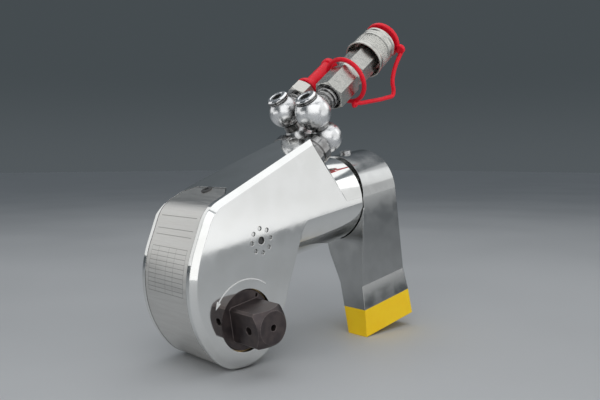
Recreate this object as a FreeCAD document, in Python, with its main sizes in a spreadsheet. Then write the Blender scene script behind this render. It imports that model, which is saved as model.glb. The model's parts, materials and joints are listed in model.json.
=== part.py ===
import FreeCAD, Part
import math
import os
import re
import Sketcher

# Hydraulic torque wrench with a 1 inch square drive, in millimetres.
# The part stands on its nose and its reaction foot. The origin is on the drive axis, in the plane of
# the side face that the square leaves. Z is up, Y runs along the drive axis into the tool, and the
# cylinder leans up towards +X by the tilt angle.
# Inside each piece, x and z are measured along and across the cylinder ("tool axes").

Vector = FreeCAD.Vector

SIZES = {
    # stance and side outline
    "tilt": 9.65,
    "body_width": 68,
    "nose_radius": 35.4,
    "front_radius": 76.3,
    "front_turn": 32.2,
    "front_end": 30,
    "brow_radius": 25,
    "top_slope": 17,
    "apex_x": 86.7,
    "apex_z": 116.5,
    "slope_turn": 31.5,
    "nose_back": 61,
    "waist_radius": 20,
    "edge_bevel": 3.8,
    "far_cut_start": 12,
    "far_cut_width": 7,
    "far_cut_depth": 12,
    "far_cut_apex": 31,
    # barrel and splined tail
    "axis_z": 60,
    "barrel_start": 50,
    "barrel_end": 135.3,
    "crease_z": 56,
    "flank_radius": 36,
    "belly_z": 24.5,
    "belly_half": 10,
    "tail_end": 172,
    "spline_root": 25,
    "spline_tip": 27,
    "spline_teeth": 24,
    "spline_gap_root": 1.5,
    "spline_gap_tip": 1.9,
    "spline_clearance": 0.3,
    # mechanism slot
    "slot_width": 46,
    "slot_radius": 31,
    "slot_top": 76,
    "slot_lip": 20,
    # drive bore and bushes
    "drive_bore": 22.5,
    "drive_collar": 21.8,
    "collar_recess": 1.7,
    "bush_step": 3.5,
    "near_bush_radius": 25,
    "far_journal": 15,
    "far_bush_radius": 18.5,
    "run_gap": 0.3,
    "fit_gap": 0.05,
    # square drive
    "square_flats": 25.4,
    "square_corner": 16.9,
    "square_length": 28.1,
    "square_end": 11.6,
    "square_centre_hole": 2.4,
    "lock_hole": 3,
    "lock_hole_place": 17,
    "drive_spline": 17,
    "drive_root": 15.4,
    "drive_splines": 12,
    "index_hole": 1.5,
    "index_hole_place": 19.2,
    # ratchet
    "ratchet_tip": 27,
    "ratchet_root": 24,
    "ratchet_teeth": 30,
    "ratchet_width": 28,
    "hub_radius": 22.2,
    # crank
    "crank_radius": 61,
    "crank_rest": 9,
    "crank_ring": 29,
    "crank_thick": 7.5,
    "crank_eye": 10.5,
    "rod_pin_radius": 6.5,
    "pawl_pin_place": 38,
    "pawl_pin_radius": 3,
    "spacer_place": 45.8,
    "spacer_radius": 2.1,
    # pawls
    "pawl_boss": 5.5,
    "pawl_reach": 28,
    "pawl_tip_turn": 41,
    "pawl_heel_turn": 50,
    "pawl_thick": 5.5,
    "heel_radius": 6,
    "heel_x": 31.2,
    "heel_z": 18,
    "heel_turn": 159.3,
    "reaction_reach": 21,
    "socket_gap": 0.3,
    # cylinder
    "bore_radius": 18.5,
    "bore_front": 84,
    "gland_length": 12,
    "rod_radius": 9,
    "rod_eye": 11.6,
    "rod_slot": 0.8,
    "piston_radius": 18.2,
    "piston_rear": 146,
    "piston_length": 18,
    "piston_spigot": 6,
    "piston_nut": 9,
    "piston_nut_length": 4,
    "seal_width": 4,
    "seal_depth": 3,
    "cap_radius": 21.5,
    "cap_seat": 158,
    "cap_nose": 151,
    "spanner_hole": 2,
    "spanner_circle": 14,
    # stop pin with its ring of dimples
    "stop_x": 22.35,
    "stop_z": 52.5,
    "stop_radius": 2.8,
    "stop_recess": 1.2,
    "dimple_radius": 1.65,
    "dimple_circle": 8.8,
    "dimple_depth": 0.7,
    # nose plate
    "plate_thick": 1,
    "plate_width": 52,
    "plate_seat": 0.2,
    "plate_start": 98,
    "plate_end": 18,
    "plate_corner": 8,
    "plate_gap": 0.4,
    "top_screw_place": 14,
    "nose_screw_turn": 104,
    "plate_screw": 2,
    "plate_screw_head": 4.2,
    "plate_screw_head_height": 1,
    "plate_screw_length": 3.4,
    "plate_screw_socket": 3,
    # reaction arm
    "arm_front": 136.3,
    "arm_back": 180.3,
    "arm_gap": 0.6,
    "arm_lean": 0.18,
    "arm_kink_z": -14,
    "foot_top": -33.5,
    "foot_bottom": -55.6,
    "foot_near": 37.5,
    "foot_sole_near": 39.5,
    "foot_far": 14,
    "foot_sole_far": 19.3,
    "foot_bolt": 3,
    "foot_bolt_head": 5,
    "foot_bolt_head_height": 5,
    "foot_bolt_recess": 5.5,
    "foot_bolt_length": 19,
    "foot_bolt_socket": 5,
    "latch_x": 158,
    "latch_radius": 5,
    "latch_height": 2.4,
    "latch_depth": 5.5,
    "latch_travel": 1.6,
    # retainer of the drive on the far side
    "retainer_radius": 21,
    "retainer_thick": 4,
    "retainer_spigot": 6,
    "drive_far_bore": 6,
    "drive_far_bore_depth": 16,
    "button_radius": 3.9,
    "button_height": 2.7,
    "button_flange": 2.5,
    # swivel joints
    "port_turn": 28.5,
    "port_drop": 18.2,
    "port_near": 18,
    "port_far": 50,
    "ball_height": 26.4,
    "spot_depth": 1,
    "spot_radius": 14,
    "spot_height": 12,
    "post_radius": 13.5,
    "post_spigot": 8,
    "post_spigot_length": 11,
    "post_top": 9.6,
    "journal_radius": 5,
    "journal_length": 13,
    "lower_ball": 13,
    "neck_radius": 7.5,
    "near_neck": 25,
    "far_neck": 27.5,
    "near_ball": 14.7,
    "far_ball": 13.3,
    "ball_flat": 11.2,
    "plug_radius": 9.2,
    "plug_height": 4,
    "plug_shank": 3.2,
    "plug_shank_length": 10,
    "plug_socket": 8,
    "stub_radius": 4.5,
    "stub_length": 3.5,
    # male coupler
    "male_neck": 6,
    "male_nut_flats": 18,
    "male_nut_start": 19,
    "male_nut_end": 31,
    "nipple_radius": 4.7,
    "nipple_end": 65,
    "male_cap_flange": 9.9,
    "male_cap_body": 6.1,
    "male_cap_head": 7.8,
    "male_cap_head_length": 5,
    "male_cap_end": 72,
    # female coupler
    "female_neck": 7,
    "female_nut_flats": 18,
    "female_nut_start": 19,
    "female_nut_end": 29,
    "cone_end": 36,
    "coupler_flats": 29,
    "coupler_hex_end": 84,
    "coupler_turned": 15.9,
    "coupler_turned_start": 70,
    "barrel_radius": 12,
    "barrel_front": 108.5,
    "coupler_bore": 6.6,
    "coupler_bore_depth": 20,
    "sleeve_start": 77.5,
    "sleeve_setback": 3.2,
    "sleeve_radius": 16.3,
    "sleeve_flare": 17.5,
    "sleeve_inner": 16.3,
    "sleeve_travel": 6,
    "snap_ring": 13.2,
    "dust_cap_radius": 16.6,
    "dust_cap_end": 113.5,
    "dust_plug": 6,
    # straps of the two dust caps
    "tether_place": 49,
    "tether_drop": 1,
    "tether_turn": 6,
    "tether_radius": 19.7,
    "tether_wire": 1.8,
    "tether_tab": 1.1,
    "strap_radius": 1.6,
    "lug_radius": 4.5,
    "lug_thick": 4,
    "lug_turn": 217,
}

# Route of the round strap in the near hose line's own axes, from the ring to the corner and up to the lug
STRAP_ROUTE = [(44.5, -3, -23.6), (56, -4, -29.4), (70.5, -7, -35.8), (83.5, -9, -41.2),
               (90, -9.5, -32.6), (97, -11, -24.6), (103.5, -13, -20), (109.6, -14.4, -17.8)]

doc = FreeCAD.newDocument("torque_wrench")
dims = doc.addObject("Spreadsheet::Sheet", "dims")
for row, (name, number) in enumerate(SIZES.items(), start=1):
    dims.set("A%d" % row, name)
    dims.set("B%d" % row, str(number))
    dims.setAlias("B%d" % row, name)
doc.recompute()

ALIAS = re.compile(r"\b(%s)\b" % "|".join(SIZES))
pieces = []


def bound(text):
    """Write a formula of size names as an expression on the spreadsheet."""
    return ALIAS.sub(r"dims.\1", str(text))


def value(text):
    """Work out a formula of size names."""
    result = dims.evalExpression(bound(text))
    return float(getattr(result, "Value", result))


def offset(point, angle, distance):
    """Point at a distance from another, in the direction of an angle."""
    return ("%s + (%s)*cos(%s)" % (point[0], distance, angle),
            "%s + (%s)*sin(%s)" % (point[1], distance, angle))


def meet(first, first_angle, second, second_angle):
    """Point where two lines cross, each given by a point and an angle."""
    along = "(((%s) - (%s))*sin(%s) - ((%s) - (%s))*cos(%s))/sin((%s) - (%s))" % (
        second[0], first[0], second_angle, second[1], first[1], second_angle, second_angle, first_angle)
    return offset(first, first_angle, along)


def polar(radius, angle):
    """Point at a radius and an angle about the origin."""
    return ("(%s)*cos(%s)" % (radius, angle), "(%s)*sin(%s)" % (radius, angle))


def new_body(label):
    """Start a piece that is built up from features."""
    body = doc.addObject("PartDesign::Body", label)
    body.Label = label
    pieces.append(body)
    return body


def place(piece, x="0", y="0", z="0", turn="0"):
    """Set a piece at a point in tool axes, its own x axis turned up by an angle from the cylinder."""
    piece.Placement = FreeCAD.Placement(Vector(0, 0, 0), FreeCAD.Rotation(Vector(0, -1, 0), 1))
    piece.setExpression(".Placement.Rotation.Angle", bound("tilt + %s" % turn))
    piece.setExpression(".Placement.Base.x", bound("(%s)*cos(tilt) - (%s)*sin(tilt)" % (x, z)))
    piece.setExpression(".Placement.Base.y", bound(y))
    piece.setExpression(".Placement.Base.z", bound("(%s)*sin(tilt) + (%s)*cos(tilt)" % (x, z)))


def origin_item(body, role):
    """One of the planes or axes that a body brings with it."""
    return [item for item in body.Origin.OriginFeatures if item.Role == role][0]


def sketch_on(body, plane, height="0", centre=("0", "0"), turn="0"):
    """Sketch on a plane of the body, moved along its normal to a height, with its own centre and turn."""
    sketch = body.newObject("Sketcher::SketchObject", body.Name + "_sketch")
    sketch.AttachmentSupport = (origin_item(body, plane), [""])
    sketch.MapMode = "FlatFace"
    sign = "-" if plane == "XZ_Plane" else ""
    sketch.setExpression(".AttachmentOffset.Base.x", bound(centre[0]))
    sketch.setExpression(".AttachmentOffset.Base.y", bound(centre[1]))
    sketch.setExpression(".AttachmentOffset.Base.z", bound("%s(%s)" % (sign, height)))
    if turn != "0":
        sketch.AttachmentOffset = FreeCAD.Placement(Vector(0, 0, 0), FreeCAD.Rotation(Vector(0, 0, 1), 1))
        sketch.setExpression(".AttachmentOffset.Rotation.Angle", bound(turn))
    return sketch


def arc_centre(start, end, bend):
    """Centre of the arc between two points, from its radius or from one coordinate of the centre."""
    middle = (start + end) / 2
    chord = end - start
    across = Vector(-chord.y, chord.x, 0).normalize()
    if bend[0] == "radius":
        reach = math.sqrt(max(value(bend[1]) ** 2 - (chord.Length / 2) ** 2, 0))
        return middle + across * (reach if bend[2] == "ccw" else -reach)
    if bend[0] == "centre_x":
        return middle + across * ((value(bend[1]) - middle.x) / across.x)
    return middle + across * ((value(bend[1]) - middle.y) / across.y)


def add_loop(sketch, corners):
    """Closed outline through corners (x, y) or (x, y, bend), where bend shapes the line to that corner.
    A bend is ("radius" or "centre_x" or "centre_y", formula, "ccw" or "cw")."""
    points = [Vector(value(corner[0]), value(corner[1]), 0) for corner in corners]
    first = sketch.GeometryCount
    rules = []
    formulas = []
    ends = []
    for index, corner in enumerate(corners):
        start = points[index - 1]
        end = points[index]
        curve = Part.LineSegment(start, end)
        ends.append((1, 2))
        if len(corner) == 3:
            centre = arc_centre(start, end, corner[2])
            low, high = (start, end) if corner[2][2] == "ccw" else (end, start)
            low_angle = math.atan2(low.y - centre.y, low.x - centre.x)
            high_angle = math.atan2(high.y - centre.y, high.x - centre.x)
            circle = Part.Circle(centre, Vector(0, 0, 1), (start - centre).Length)
            curve = Part.ArcOfCircle(circle, low_angle, high_angle)
            if corner[2][2] == "cw":
                ends[-1] = (2, 1)
        sketch.addGeometry(curve, False)
    for index, corner in enumerate(corners):
        here = first + index
        after = first + (index + 1) % len(corners)
        rules.append(Sketcher.Constraint("Coincident", here, ends[index][1],
                                         after, ends[(index + 1) % len(corners)][0]))
        formulas.append(None)
        rules.append(Sketcher.Constraint("DistanceX", here, ends[index][1], points[index].x))
        formulas.append(corner[0])
        rules.append(Sketcher.Constraint("DistanceY", here, ends[index][1], points[index].y))
        formulas.append(corner[1])
        if len(corner) == 3:
            kind = corner[2][0]
            if kind == "radius":
                rules.append(Sketcher.Constraint("Radius", here, value(corner[2][1])))
            elif kind == "centre_x":
                rules.append(Sketcher.Constraint("DistanceX", here, 3, value(corner[2][1])))
            else:
                rules.append(Sketcher.Constraint("DistanceY", here, 3, value(corner[2][1])))
            formulas.append(corner[2][1])
    bind(sketch, rules, formulas)


def add_circle(sketch, x, y, radius):
    """Circle with its centre and radius held by formulas."""
    here = sketch.GeometryCount
    sketch.addGeometry(Part.Circle(Vector(value(x), value(y), 0), Vector(0, 0, 1), value(radius)), False)
    rules = [Sketcher.Constraint("DistanceX", here, 3, value(x)),
             Sketcher.Constraint("DistanceY", here, 3, value(y)),
             Sketcher.Constraint("Radius", here, value(radius))]
    bind(sketch, rules, [x, y, radius])


def bind(sketch, rules, formulas):
    """Add constraints and tie each to its formula."""
    first = sketch.ConstraintCount
    sketch.addConstraint(rules)
    for index, formula in enumerate(formulas):
        if formula is not None:
            sketch.setExpression("Constraints[%d]" % (first + index), bound(formula))


def draw(sketch, outlines):
    """Draw outlines: a list of corners is a loop, and a tuple (x, y, radius) is a circle."""
    for outline in outlines:
        if isinstance(outline, list):
            add_loop(sketch, outline)
        else:
            add_circle(sketch, *outline)


def extrude(body, plane, low, high, *outlines, cut=False, centre=("0", "0")):
    """Pad or pocket between two heights along the plane's axis."""
    sketch = sketch_on(body, plane, "((%s) + (%s))/2" % (low, high), centre)
    draw(sketch, outlines)
    kind = "Pocket" if cut else "Pad"
    feature = body.newObject("PartDesign::" + kind, body.Name + "_" + kind.lower())
    feature.Profile = sketch
    feature.Midplane = True
    feature.setExpression("Length", bound("(%s) - (%s)" % (high, low)))
    doc.recompute()
    return feature


def revolve(body, plane, axis, *outlines, cut=False, height="0", centre=("0", "0"), turn="0"):
    """Turned form about the sketch's horizontal or vertical axis."""
    sketch = sketch_on(body, plane, height, centre, turn)
    draw(sketch, outlines)
    kind = "Groove" if cut else "Revolution"
    feature = body.newObject("PartDesign::" + kind, body.Name + "_" + kind.lower())
    feature.Profile = sketch
    feature.ReferenceAxis = (sketch, [axis])
    feature.Angle = 360
    doc.recompute()
    return feature


def turned(body, *outlines, cut=False):
    """Turned form about the body's x axis, from corners (x, radius)."""
    return revolve(body, "XZ_Plane", "H_Axis", *outlines, cut=cut)


def turned_on_y(body, *outlines, cut=False):
    """Turned form about the drive axis, from corners (radius, y)."""
    return revolve(body, "XY_Plane", "V_Axis", *outlines, cut=cut)


def turned_on_z(body, *outlines, cut=False):
    """Turned form about the body's z axis, from corners (radius, z)."""
    return revolve(body, "XZ_Plane", "V_Axis", *outlines, cut=cut)


def repeat(body, feature, count):
    """Repeat a feature around the normal through the centre of its own sketch."""
    pattern = body.newObject("PartDesign::PolarPattern", body.Name + "_pattern")
    pattern.Originals = [feature]
    pattern.Axis = (feature.Profile[0], ["N_Axis"])
    pattern.Angle = 360
    pattern.setExpression("Occurrences", bound(count))
    body.Tip = pattern
    doc.recompute()
    return pattern


def edges_where(shape, test):
    """Names of the edges that pass a test."""
    return ["Edge%d" % number for number, edge in enumerate(shape.Edges, start=1) if test(edge)]


def bevel(body, test, width):
    """Chamfer the edges that pass a test."""
    base = body.Tip
    feature = body.newObject("PartDesign::Chamfer", body.Name + "_chamfer")
    feature.Base = (base, edges_where(base.Shape, test))
    feature.setExpression("Size", bound(width))
    doc.recompute()
    return feature


def box_outline(x_low, y_low, x_high, y_high):
    """Rectangle as a loop of corners."""
    return [(x_low, y_low), (x_high, y_low), (x_high, y_high), (x_low, y_high)]


def hexagon(flats, turn="0"):
    """Regular hexagon about the sketch centre, from its width across flats."""
    return [polar("(%s)/sqrt(3)" % flats, "%d + (%s)" % (60 * corner, turn)) for corner in range(6)]


def nut(body, flats, low, high, turn="0"):
    """Hexagon along the body's x axis with both ends turned down at the corners."""
    extrude(body, "YZ_Plane", low, high, hexagon(flats, turn))
    inner = "(%s)*0.49" % flats
    outer = "(%s)*0.62" % flats
    drop = "(%s)*0.075" % flats
    turned(body, [(low, inner), ("(%s) + %s" % (low, drop), outer), (low, outer)], cut=True)
    turned(body, [(high, inner), (high, outer), ("(%s) - %s" % (high, drop), outer)], cut=True)


def splined(body, plane, low, high, teeth, root, tip, gap_root, gap_tip, centre):
    """Cut one gap between splines and repeat it around the shaft."""
    outline = [("-(%s)" % gap_root, root), (gap_root, root),
               ("(%s)*1.2" % gap_tip, "(%s) + 1" % tip), ("-(%s)*1.2" % gap_tip, "(%s) + 1" % tip)]
    groove = extrude(body, plane, low, high, outline, cut=True, centre=centre)
    repeat(body, groove, teeth)


# Places that several pieces share

half = "body_width/2"
wall = "(body_width - slot_width)/2"
slot_near = wall
slot_far = "(body_width - %s)" % wall
apex = ("apex_x", "apex_z")
rod_pin = polar("crank_radius", "90 - crank_rest")
heel = ("heel_x", "heel_z")
stop = ("stop_x", "stop_z")
ratchet_near = "(body_width - ratchet_width)/2"
ratchet_far = "(body_width + ratchet_width)/2"
middle_near = "%s + 0.5" % ratchet_near
middle_far = "%s - 0.5" % ratchet_far
port_foot = offset(apex, "slope_turn - 90", "port_drop")
lower_ball_centre = offset(port_foot, "port_turn", "ball_height")
PORTS = {
    "near": {"y": "port_near", "neck": "near_neck", "ball": "near_ball", "line_neck": "female_neck"},
    "far": {"y": "port_far", "neck": "far_neck", "ball": "far_ball", "line_neck": "male_neck"},
}


def neck_seat(side):
    """Distance from the upper ball's centre to the flat that its coupler adapter is screwed against."""
    port = PORTS[side]
    return "sqrt(%s^2 - %s^2)" % (port["ball"], port["line_neck"])


def upper_ball_centre(side):
    """Centre of the upper ball of one hose line."""
    return offset(lower_ball_centre, "port_turn + 90", PORTS[side]["neck"])


def nose_outline(inset):
    """Named points of the side outline, moved inward by an inset."""
    radius = "(nose_radius - (%s))" % inset
    sweep = "(front_radius - (%s))" % inset
    centre = polar("(front_radius - nose_radius)", "front_turn")
    start = offset(centre, "180 - front_end", sweep)
    top = offset(apex, "top_slope - 90", inset)
    corner = meet(start, "90 - front_end", top, "top_slope")
    run = "(brow_radius - (%s))*tan((90 - front_end - top_slope)/2)" % inset
    return {
        "radius": radius,
        "sweep": sweep,
        "brow": "(brow_radius - (%s))" % inset,
        "chin": polar(radius, "180 + front_turn"),
        "front": start,
        "brow_low": offset(corner, "270 - front_end", run),
        "brow_high": offset(corner, "top_slope", run),
        "top": top,
    }


def barrel_outline(gap):
    """Cross-section of the barrel about its mid-plane, grown by a gap."""
    side = "(%s + (%s))" % (half, gap)
    low = "(belly_z - (%s))" % gap
    return [("-" + side, "crease_z"),
            ("-(belly_half)", low, ("radius", "flank_radius + (%s)" % gap, "ccw")),
            ("belly_half", low),
            (side, "crease_z", ("radius", "flank_radius + (%s)" % gap, "ccw")),
            (side, "axis_z"),
            ("-" + side, "axis_z", ("centre_y", "axis_z", "ccw"))]


def make_housing():
    """Machined body: nose, barrel and splined tail in one piece."""
    body = new_body("housing")
    outer = nose_outline("0")
    back_foot = polar("nose_radius", "nose_back - 90")
    waist = meet(back_foot, "nose_back", ("0", "crease_z"), "0")
    waist_run = "waist_radius*tan(nose_back/2)"
    slope_foot = meet(apex, "slope_turn - 90", ("0", "crease_z"), "0")
    outline = [
        offset(waist, "0", waist_run) + (("radius", "waist_radius", "cw"),),
        slope_foot,
        apex,
        outer["brow_high"],
        outer["brow_low"] + (("radius", "brow_radius", "ccw"),),
        outer["front"],
        outer["chin"] + (("radius", "front_radius", "ccw"),),
        back_foot + (("radius", "nose_radius", "ccw"),),
        offset(waist, "nose_back + 180", waist_run),
    ]
    extrude(body, "XZ_Plane", "0", "body_width", outline)
    width = value("body_width")
    crease = value("crease_z")

    def rim(edge):
        box = edge.BoundBox
        flat = box.YMax < 0.001 or box.YMin > width - 0.001
        return flat and not (box.ZLength < 0.001 and abs(box.ZMin - crease) < 0.001)

    bevel(body, rim, "edge_bevel")
    extrude(body, "YZ_Plane", "barrel_start", "barrel_end", barrel_outline("0"), centre=(half, "0"))
    far_corner(body)
    extrude(body, "YZ_Plane", "barrel_end", "tail_end", ("0", "0", "spline_tip"), centre=(half, "axis_z"))
    splined(body, "YZ_Plane", "barrel_end", "tail_end + 1", "spline_teeth", "spline_root",
            "spline_tip", "spline_gap_root", "spline_gap_tip", (half, "axis_z"))
    slot = [
        ("slot_radius", "0", ("radius", "slot_radius", "ccw")),
        ("slot_radius", "slot_top"),
        ("-60", "slot_top"),
        ("-60", "-(slot_lip)"),
        ("-sqrt(slot_radius^2 - slot_lip^2)", "-(slot_lip)"),
    ]
    extrude(body, "XZ_Plane", slot_near, slot_far, slot, cut=True)
    extrude(body, "XZ_Plane", "-1", "bush_step", ("0", "0", "drive_bore"), cut=True)
    extrude(body, "XZ_Plane", "bush_step", half, ("0", "0", "near_bush_radius"), cut=True)
    extrude(body, "XZ_Plane", half, "body_width + 1", ("0", "0", "far_bush_radius"), cut=True)
    extrude(body, "XZ_Plane", middle_near, middle_far, (heel[0], heel[1], "heel_radius + socket_gap"), cut=True)
    extrude(body, "XZ_Plane", "-1", "body_width + 1", (stop[0], stop[1], "stop_radius + fit_gap"), cut=True)
    dimple = extrude(body, "XZ_Plane", "-1", "dimple_depth", ("dimple_circle", "0", "dimple_radius"),
                     cut=True, centre=stop)
    repeat(body, dimple, 8)
    extrude(body, "YZ_Plane", "slot_radius - 1", "bore_front", ("0", "0", "rod_radius + run_gap"),
            cut=True, centre=(half, "axis_z"))
    extrude(body, "YZ_Plane", "bore_front", "tail_end + 1", ("0", "0", "bore_radius"),
            cut=True, centre=(half, "axis_z"))
    extrude(body, "YZ_Plane", "cap_seat", "tail_end + 1", ("0", "0", "cap_radius"),
            cut=True, centre=(half, "axis_z"))
    plate_recess(body)
    swivel_ports(body)
    place(body)


def swivel_ports(body):
    """Round seat and bore for each swivel post."""
    seat = "-(ball_height) - spot_depth"
    bottom = seat + " - post_spigot_length - run_gap"
    hole = "post_spigot + fit_gap"
    for port in PORTS.values():
        revolve(body, "XZ_Plane", "H_Axis",
                [(bottom, "0"), (seat + " + spot_height", "0"), (seat + " + spot_height", "spot_radius"),
                 (seat, "spot_radius"), (seat, hole), (bottom, hole)],
                cut=True, height=port["y"], centre=lower_ball_centre, turn="port_turn")


def far_corner(body):
    """Sloping cut along the far top edge, wider where it reaches the hose ports."""
    stations = [("-60", "far_cut_width"), ("far_cut_start", "far_cut_width"),
                ("apex_x + 20", "far_cut_apex + (far_cut_apex - far_cut_width)*20/(apex_x - far_cut_start)")]
    sketches = []
    for x, inward in stations:
        top = "(apex_z + (%s - apex_x)*tan(top_slope))" % x
        slant = "far_cut_depth/(%s)" % inward
        sketch = sketch_on(body, "YZ_Plane", x)
        add_loop(sketch, [("body_width - (%s) - 10" % inward, "%s + 10*%s" % (top, slant)),
                          ("body_width + 6", "%s - far_cut_depth - 6*%s" % (top, slant)),
                          ("body_width + 6", "%s + 10*%s" % (top, slant))])
        sketches.append(sketch)
    loft = body.newObject("PartDesign::SubtractiveLoft", "housing_far_corner")
    loft.Profile = sketches[0]
    loft.Sections = sketches[1:]
    loft.Ruled = True
    doc.recompute()


def plate_loop(outer_inset, inner_inset, start, end):
    """Strip that follows the nose outline between two insets, from under the nose to the top."""
    outer = nose_outline(outer_inset)
    inner = nose_outline(inner_inset)
    return [
        polar(outer["radius"], "-(%s)" % start),
        outer["chin"] + (("radius", outer["radius"], "cw"),),
        outer["front"] + (("radius", outer["sweep"], "cw"),),
        outer["brow_low"],
        outer["brow_high"] + (("radius", outer["brow"], "cw"),),
        offset(outer["brow_high"], "top_slope", end),
        offset(inner["brow_high"], "top_slope", end),
        inner["brow_high"],
        inner["brow_low"] + (("radius", inner["brow"], "ccw"),),
        inner["front"],
        inner["chin"] + (("radius", inner["sweep"], "ccw"),),
        polar(inner["radius"], "-(%s)" % start) + (("radius", inner["radius"], "ccw"),),
    ]


def plate_recess(body):
    """Shallow seat of the nose plate, with its screw holes."""
    loop = plate_loop("-6", "plate_thick + plate_seat", "plate_start - 1", "plate_end + plate_gap")
    extrude(body, "XZ_Plane", "(body_width - plate_width)/2 - plate_gap",
            "(body_width + plate_width)/2 + plate_gap", loop, cut=True)
    bevel(body, end_corners("plate_thick + plate_seat", loop), "plate_corner")
    screw_holes(body, "plate_screw + fit_gap")


def end_corners(depth, loop):
    """Test for the two short edges at the top end of the plate or of its seat."""
    length = value(depth)
    end = value(loop[6][0])

    def corner(edge):
        box = edge.BoundBox
        return box.YLength < 0.001 and abs(edge.Length - length) < 0.01 and abs(box.XMax - end) < 0.5

    return corner


def make_plate():
    """Bent sheet that closes the front of the mechanism slot."""
    body = new_body("chart_plate")
    loop = plate_loop("plate_seat", "plate_thick + plate_seat", "plate_start", "plate_end")
    extrude(body, "XZ_Plane", "(body_width - plate_width)/2", "(body_width + plate_width)/2", loop)
    bevel(body, end_corners("plate_thick", loop), "plate_corner")
    screw_holes(body, "plate_screw + run_gap")
    place(body)
    screws("plate_screws", [plate_screw_seat(spot) + (facing,) for spot, facing in plate_screw_places()],
           "plate_screw", "plate_screw_head", "plate_screw_length", "plate_screw_head_height",
           "plate_screw_socket")


def plate_screw_places():
    """Where the plate is screwed down and which way each screw faces."""
    return [("top", "top_slope + 90"), ("nose", "-(nose_screw_turn)")]


def plate_screw_seat(spot):
    """Point on the outside of the plate under a screw's head."""
    outer = nose_outline("plate_seat")
    if spot == "top":
        point = offset(outer["brow_high"], "top_slope", "top_screw_place")
    else:
        point = polar(outer["radius"], "-(nose_screw_turn)")
    return (point[0], half, point[1])


def screw_holes(body, radius):
    """Holes of the plate screws, square to the plate."""
    for spot, facing in plate_screw_places():
        seat = plate_screw_seat(spot)
        revolve(body, "XZ_Plane", "H_Axis",
                [("-(plate_screw_length) - fit_gap", "0"), ("2", "0"), ("2", radius),
                 ("-(plate_screw_length) - fit_gap", radius)],
                cut=True, height=half, centre=(seat[0], seat[2]), turn=facing)


def screws(label, spots, shank, head, length, head_height, socket):
    """Like socket screws kept as one group, each given by its seat (x, y, z) and the way its head faces."""
    solids = []
    for x, y, z, facing in spots:
        solid = doc.addObject("PartDesign::Body", label + "_one")
        turned_on_z(solid, [("0", "-(%s)" % length), (shank, "-(%s)" % length), (shank, "0"), (head, "0"),
                            (head, head_height + "*0.8"), (head + " - %s*0.2" % head_height, head_height),
                            ("0", head_height)])
        extrude(solid, "XY_Plane", head_height + "*0.4", head_height + " + 1", hexagon(socket), cut=True)
        place(solid, x, y, z, facing + " - 90")
        solids.append(solid)
    group_of(label, solids)


def group_of(label, solids):
    """Keep like pieces together under one name."""
    group = doc.addObject("Part::Compound", label)
    group.Links = solids
    group.Label = label
    pieces.append(group)


def make_bushes():
    """Bronze bushes of the drive in both side walls."""
    near = new_body("drive_bush_near")
    turned_on_y(near, box_outline("drive_collar + run_gap", "bush_step", "near_bush_radius", wall))
    place(near)
    far = new_body("drive_bush_far")
    turned_on_y(far, box_outline("far_journal + run_gap", slot_far, "far_bush_radius", "body_width - 0.5"))
    place(far)


def make_drive():
    """Square drive with its turned nose, collar, splines and far journal."""
    body = new_body("drive_shaft")
    flat = "square_flats/2"
    extrude(body, "XZ_Plane", "-(square_length)", "collar_recess + 1",
            box_outline("-" + flat, "-" + flat, flat, flat))
    turned_on_y(body, [("square_end", "-(square_length)"), ("square_corner", "square_corner - square_end - square_length"),
                       ("square_corner", "collar_recess + 2"), ("square_corner + 9", "collar_recess + 2"),
                       ("square_corner + 9", "-(square_length) - 1"), ("square_end - 1", "-(square_length) - 1")], cut=True)
    turned_on_y(body, [("0", "collar_recess"), ("drive_collar - 0.6", "collar_recess"),
                       ("drive_collar", "collar_recess + 0.6"), ("drive_collar", wall + " + 0.3"),
                       ("drive_spline", wall + " + 0.3"), ("drive_spline", slot_far + " - 0.5"),
                       ("far_journal", slot_far + " - 0.5"), ("far_journal", "body_width"), ("0", "body_width")])
    splined(body, "XZ_Plane", wall + " + 0.3", slot_far + " - 0.5", "drive_splines", "drive_root",
            "drive_spline", "1.9", "2.1", ("0", "0"))
    extrude(body, "XZ_Plane", "-(square_length) - 1", "6 - square_length", ("0", "0", "square_centre_hole"), cut=True)
    extrude(body, "YZ_Plane", "-20", "20", ("-(lock_hole_place)", "0", "lock_hole"), cut=True)
    index = polar("index_hole_place", "50")
    extrude(body, "XZ_Plane", "0", "collar_recess + 2.5", (index[0], index[1], "index_hole"), cut=True)
    extrude(body, "XZ_Plane", "body_width - drive_far_bore_depth", "body_width + 1",
            ("0", "0", "drive_far_bore"), cut=True)
    place(body)


def make_retainer():
    """Cap that keeps the drive in from the far side, with its release button."""
    face = "(body_width + run_gap)"
    inner = "(body_width - retainer_spigot)"
    hole = "button_radius + fit_gap"
    retainer = new_body("drive_retainer")
    turned_on_y(retainer, [(hole, inner), ("drive_far_bore - fit_gap", inner), ("drive_far_bore - fit_gap", face),
                           ("retainer_radius", face), ("retainer_radius", face + " + retainer_thick - 1"),
                           ("retainer_radius - 1", face + " + retainer_thick"), (hole, face + " + retainer_thick")])
    place(retainer)
    button = new_body("release_button")
    stop_face = inner + " - fit_gap"
    top = face + " + retainer_thick + button_height"
    turned_on_y(button, [("0", stop_face + " - button_flange"), ("drive_far_bore - run_gap", stop_face + " - button_flange"),
                         ("drive_far_bore - run_gap", stop_face), ("button_radius", stop_face),
                         ("button_radius", top + " - 0.8"), ("button_radius - 0.8", top), ("0", top)])
    place(button)


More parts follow.
